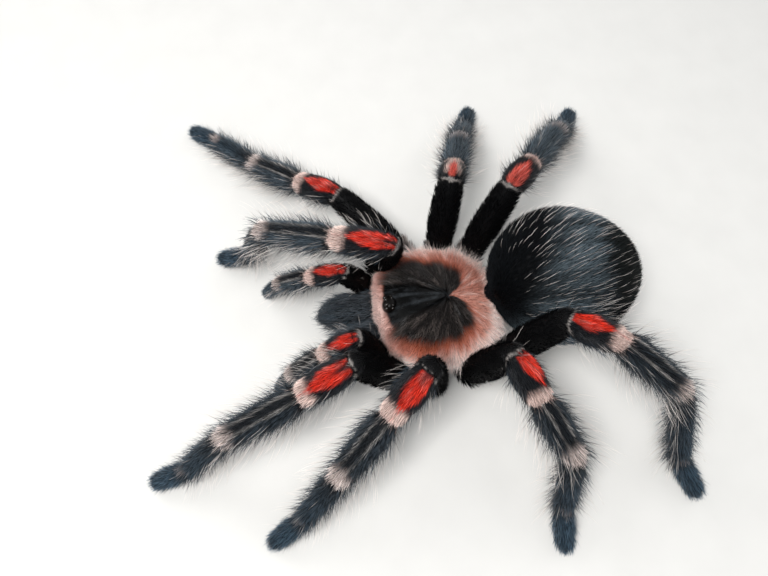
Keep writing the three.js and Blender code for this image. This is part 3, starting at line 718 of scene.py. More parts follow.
def coatMarkings():
    colors = [np.zeros((len(skinPoints), 4)), np.zeros((len(skinPoints), 4))]
    grain = fieldNoise(skinPoints, 0.9, 3)
    mixInto(colors, "black", np.ones(len(skinPoints)))
    mixInto(colors, "velvet", np.isin(kind, ("femur", "coxa", "trunk")))
    mixInto(colors, "blue", np.isin(kind, ("tibia", "metatarsus")))
    mixInto(colors, "brush", (kind == "metatarsus") * 0.45 * smoothstep(0.1, 0.5, share))
    mixInto(colors, "brush", (kind == "tarsus") * smoothstep(-0.05, 0.2, share))
    mixInto(colors, "sheen", kind == "abdomen")
    # the chelicerae: steel grey on top, where the light falls, and darkening down the sides as painted
    # shade
    mixInto(colors, "steel", (kind == "chelicera") * (1 - 0.6 * smoothstep(35, 75, aroundTop)))
    mixInto(colors, "tuft", (kind == "coxa") * smoothstep(0.55, 0.8, share)
            * smoothstep(80, 50, aroundTop) * 0.8)
    markKnees(colors, grain)
    markShins(colors, grain)
    markAbdomen(colors, grain)
    return colors


rootColors, tipColors = coatMarkings()
print("markings set")


def setAttribute(mesh, name, kindName, domain, values):
    attribute = mesh.attributes.new(name, kindName, domain)
    field = {"FLOAT": "value", "FLOAT_VECTOR": "vector", "FLOAT_COLOR": "color"}[kindName]
    attribute.data.foreach_set(field, np.asarray(values, float).ravel())


# Chitin skin: dull, dark and finely pebbled under its hair, with the coat's markings.
skinMaterial, tree, shader = newMaterial("chitin_skin_pebbled", 0.6, 1.55, specular=0.1)
skinColor = addNode(tree, "ShaderNodeAttribute", {"attribute_name": "skinColor"})
place = addNode(tree, "ShaderNodeTexCoord").outputs["Object"]
pebble = addNode(tree, "ShaderNodeTexVoronoi", inputs={"Vector": place, "Scale": 1 / (0.35 * mm)})
darken = addNode(tree, "ShaderNodeMapRange",
                 inputs={"Value": pebble, "From Max": 0.6, "To Min": 1.0, "To Max": 0.55})
tinted = addNode(tree, "ShaderNodeVectorMath", {"operation": "SCALE"}, {0: skinColor, "Scale": darken})
bump = addNode(tree, "ShaderNodeBump", inputs={"Height": pebble, "Strength": 0.35, "Distance": 0.05 * mm})
tree.links.new(tinted.outputs["Vector"], shader.inputs["Base Color"])
tree.links.new(bump.outputs["Normal"], shader.inputs["Normal"])

setAttribute(skinMesh, "skinColor", "FLOAT_COLOR", "POINT", rootColors * 0.6 + tipColors * 0.4)
limbNodes = [
    name + "_" + part for name in limbPoses
    for part in ("coxa", "femur", "patella", "tibia", "tarsus" if name.startswith("palp") else "foot")
]
bodyNodes = ["sternum", "abdomen", "spinneret_l", "spinneret_r", "chelicera_l", "chelicera_r"]
newPiece("skin", skinMesh, skinMaterial, limbNodes + bodyNodes)
print("skin finished")

# the carapace, eye mound, eyes, fangs and claws

carapacePlan = {"halfLength": 13, "halfWidth": 13, "squareness": 2.5, "dome": 6.8, "lip": 0.5, "plug": 1.7,
                "fovea": -2, "rings": 56, "sides": 176}
grooves = ((30, 0.55), (75, 0.4), (105, 0.4), (135, 0.4), (180, 0.3))  # turn from the front, and depth
grooveSpread = 7
moundPlan = {"forward": 10.4, "halfLength": 1.25, "halfWidth": 1.6, "top": 6.5, "bareLength": 1.9,
             "bareWidth": 2.2}


# A domed shell, highest on the head, with grooves from the fovea and a pit in it.
def carapaceHeight(forward, shareOut, turn):
    crown = carapacePlan["dome"] * (0.72 + 0.28 * np.exp(-(((forward - 5) / 7) ** 2)))
    front = smoothstep(1, 9, forward)
    fall = np.maximum(1 - shareOut ** (2.2 + 1.8 * front), 0) ** (0.85 - 0.5 * front)
    away = np.minimum(turn, 360 - turn)
    dip = sum(depth * np.exp(-(((away - at) / grooveSpread) ** 2)) for at, depth in grooves)
    dip = dip * np.sin(np.pi * shareOut ** 0.8)
    pit = 0.9 * np.exp(-((forward - carapacePlan["fovea"]) / 0.5) ** 2)
    pit = pit * np.exp(-((shareOut * carapacePlan["halfWidth"] * np.sin(np.radians(turn))) / 1.3) ** 2)
    return carapacePlan["lip"] + (crown - carapacePlan["lip"]) * fall - dip - pit


def carapacePlace(shareOut, turn):
    power = 2 / carapacePlan["squareness"]
    cos, sin = np.cos(np.radians(turn)), np.sin(np.radians(turn))
    forward = np.sign(cos) * np.abs(cos) ** power * carapacePlan["halfLength"] * shareOut
    left = np.sign(sin) * np.abs(sin) ** power * carapacePlan["halfWidth"] * shareOut
    return forward + carapacePlan["fovea"] * (1 - shareOut), left


# How far out a place is on the shell: 0 in the middle and 1 at the rim.
def shareOfShell(forward, left):
    power = carapacePlan["squareness"]
    return (np.abs(forward / carapacePlan["halfLength"]) ** power
            + np.abs(left / carapacePlan["halfWidth"]) ** power) ** (1 / power)


def carapaceSolid():
    turns = 360 * np.arange(carapacePlan["sides"]) / carapacePlan["sides"]
    made = []
    for shareOut in np.linspace(0.012, 1, carapacePlan["rings"]) ** 0.9:
        forward, left = carapacePlace(shareOut, turns)
        made.append(bodyPoint(forward, left, carapaceHeight(forward, shareOut, turns)))
    plug = -carapacePlan["plug"]
    for shareOut, above in ((1.012, 0.2), (1.012, -0.2), (1, -0.5), (0.84, plug), (0.4, plug)):
        forward, left = carapacePlace(shareOut, turns)
        made.append(bodyPoint(forward, left, np.full(len(turns), above)))
    return loft(made[::-1])


carapaceMesh = meshOf("carapace_shell", [carapaceSolid()])
shellPoints = meshPoints(carapaceMesh)
shellNormals = meshPoints(carapaceMesh, normals=True)
shellForward, shellLeft, shellAbove = bodyAway(shellPoints)
shellShare = shareOfShell(shellForward, shellLeft)
shellTurn = np.degrees(np.arctan2(shellLeft, shellForward - carapacePlan["fovea"]))
shellTop = (shellNormals @ bodyUp > 0.1) & (shellAbove > 0.1)

coatColors.update({
    "border": ("#97594a", "#e0a795"), "glow": ("#7c3421", "#ca6c4d"), "fringe": ("#dcbab0", "#fff2ec"),
    "lobe": ("#050404", "#2b2624"), "strand": ("#1a1716", "#6a605b"), "wedge": ("#020202", "#080808"),
    # the head's painted glints, light caught on its glossy ridges
    "paintedRidgeGlint": ("#1c1e20", "#45494d"),
})


def shellMarkings():
    count = len(shellPoints)
    colors = [np.zeros((count, 4)), np.zeros((count, 4))]
    mixInto(colors, "border", np.ones(count))
    grain = fieldNoise(shellPoints, 2.2, 9) + 0.5 * fieldNoise(shellPoints, 0.7, 5)
    turn = np.abs(shellTurn)
    fringeStart = np.interp(turn, (0, 40, 90, 120, 180), (0.8, 0.88, 0.85, 0.78, 0.74))
    mixInto(colors, "fringe", smoothstep(-0.02, 0.12, shellShare - fringeStart + 0.05 * grain))
    radial = fieldNoise(np.stack([shellTurn / 5, shellShare * 3, shellShare * 0], -1), 1, 17)
    mixInto(colors, "fringe", 0.5 * smoothstep(0.05, 0.4, radial))
    # the dark field ends in rounded lobes beside the fovea, and the border reaches in to it from the rear
    turns = (0, 22, 40, 60, 90, 112, 130, 145, 160, 180)
    darkEdge = np.interp(turn, turns, (0.87, 0.88, 0.84, 0.74, 0.66, 0.62, 0.55, 0.38, 0.16, 0.1))
    darkEdge = darkEdge - 0.07 * smoothstep(20, 60, -shellTurn) * smoothstep(150, 110, -shellTurn)
    darkEdge = darkEdge + 0.02 * np.cos(np.radians(turn) * 12)
    mixInto(colors, "glow", smoothstep(0.2, 0.03, shellShare - darkEdge + 0.06 * grain)
            * np.interp(turn, (0, 50, 90, 125, 150), (0.3, 1, 0.95, 0.75, 0.35)))
    lobe = smoothstep(0.08, -0.08, shellShare - darkEdge + 0.05 * grain)
    mixInto(colors, "lobe", lobe)
    mixInto(colors, "strand", lobe * 0.75 * smoothstep(0, 0.4, radial + 0.3 * grain))
    wedge = smoothstep(0.6, -0.6, np.abs(shellLeft) - (1.4 + 0.25 * np.maximum(shellForward + 2, 0)))
    wedge = wedge * smoothstep(-3, -1.5, shellForward) * smoothstep(0.88, 0.84, shellShare)
    mixInto(colors, "wedge", wedge)
    # painted highlights: glints along two low ridges that run back from the eyes to the fovea, with finer
    # painted glint lines between them
    fromRidge = np.abs(np.abs(shellLeft) - 0.15 - 0.1 * np.maximum(shellForward + 2, 0))
    lines = fieldNoise(np.stack([shellLeft / 0.6, shellForward / 4, shellAbove * 0], -1), 1, 27)
    paintedRidgeGlint = smoothstep(0.5, 0.15, fromRidge) + 0.5 * smoothstep(0.2, 0.45, lines)
    mixInto(colors, "paintedRidgeGlint", wedge * np.clip(paintedRidgeGlint, 0, 1) * np.clip(0.6 + 0.8 * grain, 0.15, 1))
    return colors


shellRoots, shellTips = shellMarkings()
setAttribute(carapaceMesh, "skinColor", "FLOAT_COLOR", "POINT", shellRoots * 0.7 + shellTips * 0.3)

# Bare chitin shell: hard, polished and nearly black on the head, salmon at the border.
shellMaterial, tree, shader = newMaterial("chitin_shell_polished", 0.32, 1.56, specular=0.09)
shellColor = addNode(tree, "ShaderNodeAttribute", {"attribute_name": "skinColor"})
place = addNode(tree, "ShaderNodeTexCoord").outputs["Object"]
mottle = addNode(tree, "ShaderNodeTexNoise", inputs={"Vector": place, "Scale": 1 / (1.2 * mm), "Detail": 4})
darken = addNode(tree, "ShaderNodeMapRange", inputs={"Value": mottle, "To Min": 0.7, "To Max": 1.25})
tinted = addNode(tree, "ShaderNodeVectorMath", {"operation": "SCALE"}, {0: shellColor, "Scale": darken})
fine = addNode(tree, "ShaderNodeTexNoise", inputs={"Vector": place, "Scale": 1 / (0.25 * mm), "Detail": 2})
bump = addNode(tree, "ShaderNodeBump", inputs={"Height": fine, "Strength": 0.3, "Distance": 0.06 * mm})
tree.links.new(tinted.outputs["Vector"], shader.inputs["Base Color"])
tree.links.new(bump.outputs["Normal"], shader.inputs["Normal"])
newPiece("carapace_shell", carapaceMesh, shellMaterial, ["carapace"])

# Eye lenses: clear domes over black, so glossy and almost black.
eyeMaterial = mottledMaterial("eye_lens_glossy", 0.06, 1.5, 0.6, 2, "#050403", "#1d1610")

# Forward and out from the mound's middle, and the radius; each is a pair.
eyePlan = ((0.75, 0.55, 0.42), (0.85, 1.2, 0.36), (-0.35, 1.35, 0.34), (-0.45, 0.8, 0.28))
moundProfile = (  # share of its half widths, and mm below its top
    (1.1, 2.9), (1.08, 1.5), (1.02, 1), (0.94, 0.6), (0.8, 0.3), (0.6, 0.12), (0.35, 0.03), (0.12, 0),
)
moundAngles = 2 * np.pi * np.arange(36) / 36
moundRings = [
    bodyPoint(moundPlan["forward"] + moundPlan["halfLength"] * size * np.cos(moundAngles),
              moundPlan["halfWidth"] * size * np.sin(moundAngles),
              np.full(len(moundAngles), moundPlan["top"] - below))
    for size, below in moundProfile
]
eyeSolids = []
for forward, out, radius in eyePlan:
    height = moundPlan["top"] + 0.08 - 0.35 * out ** 2 - 0.25 * abs(forward)  # on the mound's slope
    for side in (1, -1):
        middle = bodyPoint(moundPlan["forward"] + forward, side * out, height)
        axes = (bodyUp * radius, bodyForward * radius, bodyLeft * radius)
        eyeSolids.append(ellipsoid(middle, axes, 24, 14))
moundMesh = meshOf("eye_mound", [loft(moundRings)])
moundColors = np.tile(linear("#0b0908"), (len(moundMesh.vertices), 1))
setAttribute(moundMesh, "skinColor", "FLOAT_COLOR", "POINT", moundColors)
newPiece("eye_mound", moundMesh, shellMaterial, ["eye_tubercle"])
newPiece("eyes", meshOf("eyes", eyeSolids), eyeMaterial)

# Fang horn: polished, mottled between black and dark red-brown; the real fang runs from black at the point
# to red-brown at the root.
hornMaterial = mottledMaterial("fang_horn_polished", 0.16, 1.56, 0.8, 3, "#080403", "#2a1009")

# High and low are the heights of a fang's root and tip above the floor.
fangPlan = {"radius": 0.8, "tip": 0.1, "from": 21.8, "fold": 6, "high": 3.1, "low": 1.35}


def fangPoint(side, shareAlong):
    height = fangPlan["low"] + (fangPlan["high"] - fangPlan["low"]) * (1 - shareAlong) ** 3
    point = bodyPoint(fangPlan["from"] - fangPlan["fold"] * shareAlong,
                      side * (cheliceraPlan["out"] + cheliceraPlan["spread"]), 0)
    point[2] = height
    return point


def fangSolid(side, stations=24, sides=18):
    made = []
    for s in np.linspace(0, 1, stations):
        way = unit(fangPoint(side, s + 0.02) - fangPoint(side, s - 0.02))
        radius = fangPlan["radius"] + (fangPlan["tip"] - fangPlan["radius"]) * s
        made.append(fangPoint(side, s) + ringOf(bodyLeft, np.cross(way, bodyLeft), sides) * radius)
    return loft(made)


for side, label in ((1, "l"), (-1, "r")):
    newPiece("fang_horn_" + label, meshOf("fang_" + label, [fangSolid(side)]), hornMaterial,
             ["fang_" + label])


def clawSolid(part, side, stations=8, sides=8):
    root = part["start"] + part["way"] * (part["length"] + 0.1) + part["across"] * 0.35 * side
    circle = ringOf(part["across"], part["above"], sides)
    made = []
    for s in np.linspace(0, 1, stations):
        drop = 0.25 * math.sin(math.pi * s) - 0.35 * s
        middle = root + part["way"] * 0.9 * s + part["above"] * drop
        made.append(middle + circle * (0.17 * (1 - 0.85 * s)))
    return loft(made)


tarsi = [parts[-1] for parts in limbParts.values()]
newPiece("tarsal_claws", meshOf("claws", [clawSolid(part, side) for part in tarsi for side in (1, -1)]),
         hornMaterial)
print("hard pieces made")

# hair


def hairMaterial(name, roughness, specular, paleFrom=0.0, paleAt=0.8):
    material, tree, shader = newMaterial(name, roughness, 1.55, specular)
    root, tip, along, shade = [
        addNode(tree, "ShaderNodeAttribute", {"attribute_name": attribute})
        for attribute in ("rootColor", "tipColor", "along", "shade")
    ]
    fade = addNode(tree, "ShaderNodeMapRange", {"interpolation_type": "SMOOTHSTEP"},
                   {"Value": along.outputs["Fac"], "From Min": paleFrom, "From Max": paleAt})
    blend = addNode(tree, "ShaderNodeMix", {"data_type": "RGBA"}, {0: fade, 6: root, 7: tip})
    shaded = addNode(tree, "ShaderNodeVectorMath", {"operation": "SCALE"},
                     {0: blend.outputs[2], "Scale": shade.outputs["Fac"]})
    tree.links.new(shaded.outputs["Vector"], shader.inputs["Base Color"])
    return material


# Spider hair: fine chitin bristles, softly glossy, darker at the root than at the tip.
softHair = hairMaterial("chitin_hair_soft", 0.45, 0.35)
# Velvet: the same hair, so short and dense that it hardly shines.
velvetHair = hairMaterial("chitin_hair_velvet", 0.7, 0.08)
# Setae: long stiff bristles, dark at the root and fading to pale at three quarters of their length.
setaHair = hairMaterial("chitin_seta_pale_tipped", 0.4, 0.4, 0.15, 0.75)

patchSize = 0.003  # how much of the unwrap each bristle covers, along and round


def coatTree():
    tree = bpy.data.node_groups.new("growCoat", "GeometryNodeTree")
    tree.is_modifier = True
    sockets = tree.interface
    sockets.new_socket("Geometry", in_out="INPUT", socket_type="NodeSocketGeometry")
    for name, socketType in (
        ("Density", "Float"), ("Apart", "Float"), ("Seed", "Int"), ("Steps", "Int"), ("Thickness", "Float"),
        ("Knee", "Vector"), ("Tip", "Vector"), ("Uneven", "Float"), ("Spread", "Float"), ("Floor", "Float"),
        ("Material", "Material"),
    ):
        sockets.new_socket(name, in_out="INPUT", socket_type="NodeSocket" + socketType)
    sockets.new_socket("Geometry", in_out="OUTPUT", socket_type="NodeSocketGeometry")
    given = addNode(tree, "NodeGroupInput").outputs

    named = {
        name: addNode(tree, "GeometryNodeInputNamedAttribute", {"data_type": dataType}, {"Name": name})
        for name, dataType in (
            ("coatDensity", "FLOAT"), ("coatLength", "FLOAT"), ("coatNormal", "FLOAT_VECTOR"),
            ("coatLie", "FLOAT_VECTOR"), ("rootUnwrap", "FLOAT_VECTOR"), ("along", "FLOAT"),
            ("roundIt", "FLOAT"),
        )
    }
    onPoints = {"data_type": "FLOAT", "domain": "POINT"}

    # one bristle: a bent, tapered tube of three sides that leaves the skin along +Z and leans towards +X
    bend = addNode(tree, "GeometryNodeCurveQuadraticBezier", inputs={
        "Resolution": 12, "Start": (0, 0, 0), "Middle": given["Knee"], "End": given["Tip"]})
    count = addNode(tree, "ShaderNodeMath", {"operation": "ADD"}, {0: given["Steps"], 1: 1})
    spine = addNode(tree, "GeometryNodeResampleCurve", inputs={"Curve": bend, "Count": count})
    factor = addNode(tree, "GeometryNodeSplineParameter")
    bulge = addNode(tree, "ShaderNodeMath", {"operation": "POWER"}, {0: factor, 1: 1.6})
    loss = addNode(tree, "ShaderNodeMath", {"operation": "MULTIPLY"}, {0: bulge, 1: 0.9})
    taper = addNode(tree, "ShaderNodeMath", {"operation": "SUBTRACT"}, {0: 1.0, 1: loss})
    radius = addNode(tree, "ShaderNodeMath", {"operation": "MULTIPLY"}, {0: given["Thickness"], 1: taper})
    markedSpine = addNode(tree, "GeometryNodeStoreNamedAttribute", onPoints,
                          {"Geometry": spine, "Name": "along", "Value": factor})
    circle = addNode(tree, "GeometryNodeCurvePrimitiveCircle", inputs={"Resolution": 3, "Radius": 1.0})
    markedCircle = addNode(tree, "GeometryNodeStoreNamedAttribute", onPoints,
                           {"Geometry": circle, "Name": "roundIt", "Value": factor})
    bristle = addNode(tree, "GeometryNodeCurveToMesh", inputs={
        "Curve": markedSpine, "Profile Curve": markedCircle, "Scale": radius, "Fill Caps": True})

    # the roots, each with its own shade
    roots = addNode(tree, "GeometryNodeDistributePointsOnFaces", {"distribute_method": "POISSON"}, {
        "Mesh": given["Geometry"], "Distance Min": given["Apart"], "Density Max": given["Density"],
        "Density Factor": named["coatDensity"], "Seed": given["Seed"]})
    chance = addNode(tree, "FunctionNodeRandomValue", {"data_type": "FLOAT"}, {"Seed": given["Seed"]})
    mostlyPale = addNode(tree, "ShaderNodeMath", {"operation": "POWER"}, {0: chance.outputs[1], 1: 0.5})
    wider = addNode(tree, "ShaderNodeMath", {"operation": "MULTIPLY"}, {0: mostlyPale, 1: 1.05})
    shade = addNode(tree, "ShaderNodeMath", {"operation": "ADD"}, {0: wider, 1: 0.3})
    shadedRoots = addNode(tree, "GeometryNodeStoreNamedAttribute", onPoints,
                          {"Geometry": roots, "Name": "shade", "Value": shade})

    # each bristle lies along the coat but for its own sway, and has its own length
    facing = addNode(tree, "FunctionNodeAxesToRotation", {"primary_axis": "Z", "secondary_axis": "X"},
                     {"Primary Axis": named["coatNormal"], "Secondary Axis": named["coatLie"]})
    sway = addNode(tree, "FunctionNodeRandomValue", {"data_type": "FLOAT_VECTOR"},
                   {0: (-1, -1, -1), 1: (1, 1, 1), "Seed": given["Seed"]})
    swayed = addNode(tree, "ShaderNodeVectorMath", {"operation": "SCALE"},
                     {0: sway, "Scale": given["Spread"]})
    turned = addNode(tree, "FunctionNodeEulerToRotation", inputs={0: swayed})
    rotation = addNode(tree, "FunctionNodeRotateRotation", {"rotation_space": "LOCAL"},
                       {0: facing, 1: turned})
    least = addNode(tree, "ShaderNodeMath", {"operation": "SUBTRACT"}, {0: 1.0, 1: given["Uneven"]})
    most = addNode(tree, "ShaderNodeMath", {"operation": "ADD"}, {0: 1.0, 1: given["Uneven"]})
    size = addNode(tree, "FunctionNodeRandomValue", {"data_type": "FLOAT"},
                   {2: least, 3: most, "Seed": given["Seed"]})
    long = addNode(tree, "ShaderNodeMath", {"operation": "MULTIPLY"},
                   {0: size.outputs[1], 1: named["coatLength"]})
    scale = addNode(tree, "ShaderNodeCombineXYZ", inputs={"X": long, "Y": 1.0, "Z": long})
    placed = addNode(tree, "GeometryNodeInstanceOnPoints", inputs={
        "Points": shadedRoots, "Instance": bristle, "Rotation": rotation, "Scale": scale})
    real = addNode(tree, "GeometryNodeRealizeInstances", inputs={0: placed})

    # nothing reaches below the floor
    where = addNode(tree, "GeometryNodeInputPosition")
    split = addNode(tree, "ShaderNodeSeparateXYZ", inputs={0: where}).outputs
    height = addNode(tree, "ShaderNodeMath", {"operation": "MAXIMUM"}, {0: split[2], 1: given["Floor"]})
    lifted = addNode(tree, "ShaderNodeCombineXYZ", inputs={"X": split[0], "Y": split[1], "Z": height})
    cleared = addNode(tree, "GeometryNodeSetPosition", inputs={"Geometry": real, "Position": lifted})

    # each bristle's own small patch on the unwrap
    across, up = [
        addNode(tree, "ShaderNodeMath", {"operation": "MULTIPLY"}, {0: named[name], 1: patchSize})
        for name in ("along", "roundIt")
    ]
    patch = addNode(tree, "ShaderNodeCombineXYZ", inputs={"X": across, "Y": up})
    unwrap = addNode(tree, "ShaderNodeVectorMath", {"operation": "ADD"}, {0: named["rootUnwrap"], 1: patch})
    onCorners = {"data_type": "FLOAT2", "domain": "CORNER"}
    unwrapped = addNode(tree, "GeometryNodeStoreNamedAttribute", onCorners,
                        {"Geometry": cleared, "Name": "OFBake", "Value": unwrap})
    finished = addNode(tree, "GeometryNodeSetMaterial",
                       inputs={"Geometry": unwrapped, "Material": given["Material"]})
    addNode(tree, "NodeGroupOutput", inputs={0: finished})
    return tree


coatNodes = coatTree()
keptAttributes = {"rootColor", "tipColor", "along", "shade", "OFBake", "position"}


# Where a bristle bends and where it ends: it rises for half its length and then lies over.
def bristleShape(length, rise, droop):
    half = length * 0.5 * mm
    a, b = math.radians(rise), math.radians(droop)
    knee = (half * math.cos(a), 0, half * math.sin(a))
    return knee, (knee[0] + half * math.cos(b), 0, knee[2] + half * math.sin(b))


# Grow one coat of bristles as a mesh of its own, from the faces where its density is more than a trace.
def growCoat(name, base, settings, hair=softHair):
    mesh = bpy.data.meshes.new(name)
    keep = base["density"] > 0.01
    faceKeep = np.logical_or.reduceat(keep[base["loopPoint"]], base["loopStart"])
    loopKeep = faceKeep[base["loopFace"]]
    usedPoints, newIndex = np.unique(base["loopPoint"][loopKeep], return_inverse=True)
    totals = base["loopTotal"][faceKeep]
    mesh.vertices.add(len(usedPoints))
    mesh.vertices.foreach_set("co", (base["points"][usedPoints] * mm).ravel())
    mesh.loops.add(len(newIndex))
    mesh.loops.foreach_set("vertex_index", newIndex)
    mesh.polygons.add(len(totals))
    mesh.polygons.foreach_set("loop_start", np.concatenate([[0], np.cumsum(totals)[:-1]]))
    mesh.update(calc_edges=True)
    for attribute, attributeType, values in (
        ("coatDensity", "FLOAT", base["density"]), ("coatLength", "FLOAT", base["length"]),
        ("coatNormal", "FLOAT_VECTOR", base["normals"]), ("coatLie", "FLOAT_VECTOR", base["lie"]),
        ("rootColor", "FLOAT_COLOR", base["roots"]), ("tipColor", "FLOAT_COLOR", base["tips"]),
    ):
        setAttribute(mesh, attribute, attributeType, "POINT", values[usedPoints])
    setAttribute(mesh, "rootUnwrap", "FLOAT_VECTOR", "CORNER", base["unwrap"][loopKeep])

    thing = bpy.data.objects.new(name, mesh)
    bpy.context.collection.objects.link(thing)
    modifier = thing.modifiers.new("coat", "NODES")
    modifier.node_group = coatNodes
    knee, tip = bristleShape(settings["length"], settings["rise"], settings["droop"])
    values = {
        "Density": settings["perSquareMm"] / mm ** 2, "Apart": settings.get("apart", 0) * mm,
        "Seed": settings["seed"], "Steps": settings["steps"], "Thickness": settings["thickness"] / 2 * mm,
        "Knee": knee, "Tip": tip, "Uneven": settings["uneven"], "Spread": math.radians(settings["spread"]),
        "Floor": 0.02 * mm, "Material": hair,
    }
    for item in coatNodes.interface.items_tree:
        if item.item_type == "SOCKET" and item.in_out == "INPUT" and item.name in values:
            modifier[item.identifier] = values[item.name]
    grown = evaluatedCopy(thing, name)
    for spare in [a.name for a in grown.attributes if not (a.is_internal or a.is_required)]:
        if spare not in keptAttributes:
            grown.attributes.remove(grown.attributes[spare])
    newPiece(name, grown, hair)
    print(name, sum(len(p.vertices) - 2 for p in grown.polygons), "triangles")


skinBase = dict(skinCorners, points=skinPoints, normals=skinNormals, lie=lie, unwrap=loopUnwrap)
lowDown = smoothstep(0.9, 0.3, skinPoints[:, 2]) * (skinNormals[:, 2] < -0.3)  # where the feet rest
skinForward, skinLeft, skinAbove = bodyAway(skinPoints)
skinShare = shareOfShell(skinForward, skinLeft)
betweenGrooves = np.full(len(skinPoints), 50.0)  # degrees
shellAboveSkin = carapaceHeight(skinForward, np.minimum(skinShare, 1), betweenGrooves)
underCarapace = (skinShare < 0.95) & (skinAbove > -1.5) & (skinAbove < shellAboveSkin)


def isKind(*kinds):
    return np.isin(kind, kinds) & ~underCarapace


def coat(name, density, settings, length, roots=rootColors, tips=tipColors, hair=softHair):
    base = dict(skinBase, density=density * (1 - lowDown), length=length, roots=roots, tips=tips)
    growCoat(name, base, settings, hair)


# Lengths and thicknesses are in mm, and rise, droop and spread in degrees.
coatPlan = {
    "velvetFemora": {"perSquareMm": 5.6, "seed": 11, "steps": 1, "length": 1.25, "thickness": 0.16,
                     "rise": 34, "droop": 20, "uneven": 0.25, "spread": 7},
    "kneeFur": {"perSquareMm": 15, "seed": 12, "steps": 1, "length": 1.35, "thickness": 0.12, "rise": 24,
                "droop": 12, "uneven": 0.3, "spread": 5},
    "shinFur": {"perSquareMm": 12.5, "seed": 13, "steps": 1, "length": 1.8, "thickness": 0.12, "rise": 30,
                "droop": 14, "uneven": 0.35, "spread": 7},
    "footFur": {"perSquareMm": 9.5, "seed": 14, "steps": 1, "length": 1.6, "thickness": 0.14, "rise": 30,
                "droop": 16, "uneven": 0.35, "spread": 8},
    "abdomenFur": {"perSquareMm": 10.5, "seed": 15, "steps": 1, "length": 1.6, "thickness": 0.15,
                   "rise": 26, "droop": 12, "uneven": 0.35, "spread": 7},
    "jawFur": {"perSquareMm": 12, "seed": 16, "steps": 2, "length": 2.1, "thickness": 0.11, "rise": 32,
               "droop": 8, "uneven": 0.4, "spread": 10},
}
# longer on the trochanters, and shorter towards the knees
atTrochanter = (kind == "coxa") * smoothstep(0.55, 0.8, share)
atKnee = (kind == "femur") * smoothstep(0.8, 1, share)
coat("coat_femora", isKind("femur", "coxa", "trunk", "waist"), coatPlan["velvetFemora"],
     slimmer * (1 + 0.6 * atTrochanter - 0.4 * atKnee), hair=velvetHair)
# shorter at a knee's far end, at its pale rim and before its joint
kneeLength = slimmer * (1 - 0.6 * smoothstep(1.5, 0.4, toEnd))
kneeLength = kneeLength * (0.3 + 0.7 * smoothstep(0.2, 1.2, np.abs(fromRim)))
kneeLength = kneeLength * (1 - 0.35 * (fromStart < -reach))
coat("coat_knees", isKind("patella"), coatPlan["kneeFur"], kneeLength)
coat("coat_shins", isKind("tibia"), coatPlan["shinFur"],
     slimmer * (1 - 0.35 * smoothstep(1.2, 0.2, toEnd)) * (0.75 + 0.25 * smoothstep(20, 50, aroundTop)))
coat("coat_feet", isKind("metatarsus", "tarsus"), coatPlan["footFur"],
     slimmer * np.where(kind == "tarsus", 0.9, 1))
coat("coat_abdomen", isKind("abdomen", "spinneret"), coatPlan["abdomenFur"],
     np.where(kind == "spinneret", 0.5, 1 - 0.55 * smoothstep(0.93, 1, share)), hair=velvetHair)
coat("coat_jaws", isKind("chelicera"), coatPlan["jawFur"], np.ones(len(skinPoints)))

# long, pale-tipped bristles


def flatColors(root, tip):
    return [np.tile(linear(c), (len(skinPoints), 1)) for c in (root, tip)]


setaePlan = {
    "legs": {"perSquareMm": 4.6, "apart": 0.44, "seed": 21, "steps": 4, "length": 6.4, "thickness": 0.083,
             "rise": 60, "droop": 28, "uneven": 0.35, "spread": 11},
    "brush": {"perSquareMm": 2.9, "seed": 23, "steps": 2, "length": 2.9, "thickness": 0.11, "rise": 50,
              "droop": 20, "uneven": 0.4, "spread": 12},
    "abdomen": {"perSquareMm": 1.6, "apart": 0.85, "seed": 22, "steps": 4, "length": 3.3, "thickness": 0.07,
                "rise": 40, "droop": 0, "uneven": 0.3, "spread": 7},
}
legRoot, legTip = flatColors("#1b1e22", "#e2d9d2")
sideWeight = smoothstep(35, 65, aroundTop)
legSetae = (isKind("tibia") * 0.9 + isKind("metatarsus") * 0.75
            + 0.45 * isKind("patella") * smoothstep(0.5, 1.5, fromStart + reach) * sideWeight
            + isKind("tarsus") * 0.3 * smoothstep(0.9, 0.2, share) + isKind("femur") * 0.04)
legSetae = legSetae * (0.03 + 0.97 * sideWeight)
setaLength = (np.where(kind == "tibia", 1.0, np.where(kind == "patella", 0.8, 0.85))
              * np.where(kind == "tarsus", 0.55, 1) * np.where(kind == "femur", 0.6, 1) * slimmer
              * (0.55 + 0.45 * sideWeight))
leftSide = np.char.find(nameOf, "_l")[nearest] >= 0
for name, limbs in (("bristles_left", leftSide), ("bristles_right", ~leftSide)):
    coat(name, legSetae * limbs, setaePlan["legs"], setaLength, legRoot, legTip, setaHair)
brushRoot, brushTip = flatColors("#090c0f", "#35424c")
brush = (isKind("tibia") + isKind("metatarsus") + 0.8 * isKind("tarsus") * smoothstep(1, 0.6, share)
         + 0.8 * isKind("patella") * smoothstep(55, 80, aroundTop) * (fromStart > 0))
brush = brush * (0.15 + 0.85 * sideWeight)
brush = brush + 0.8 * isKind("chelicera") * smoothstep(0.55, 0.9, share) + 0.3 * isKind("chelicera")
brushLength = slimmer * np.where(kind == "tarsus", 0.6, 1) * (1 - 0.3 * (kind == "patella"))
coat("brush_legs", brush, setaePlan["brush"], brushLength, brushRoot, brushTip)
backRoot, backTip = flatColors("#8c817d", "#fff6f0")
inPatch = smoothstep(1.3, 0.8, fromPatch)
backDensity = isKind("abdomen") * smoothstep(0.14, 0.35, share) * smoothstep(150, 110, aroundTop)
backDensity = backDensity * (0.75 + 0.25 * smoothstep(40, 70, aroundTop) - 0.45 * inPatch)
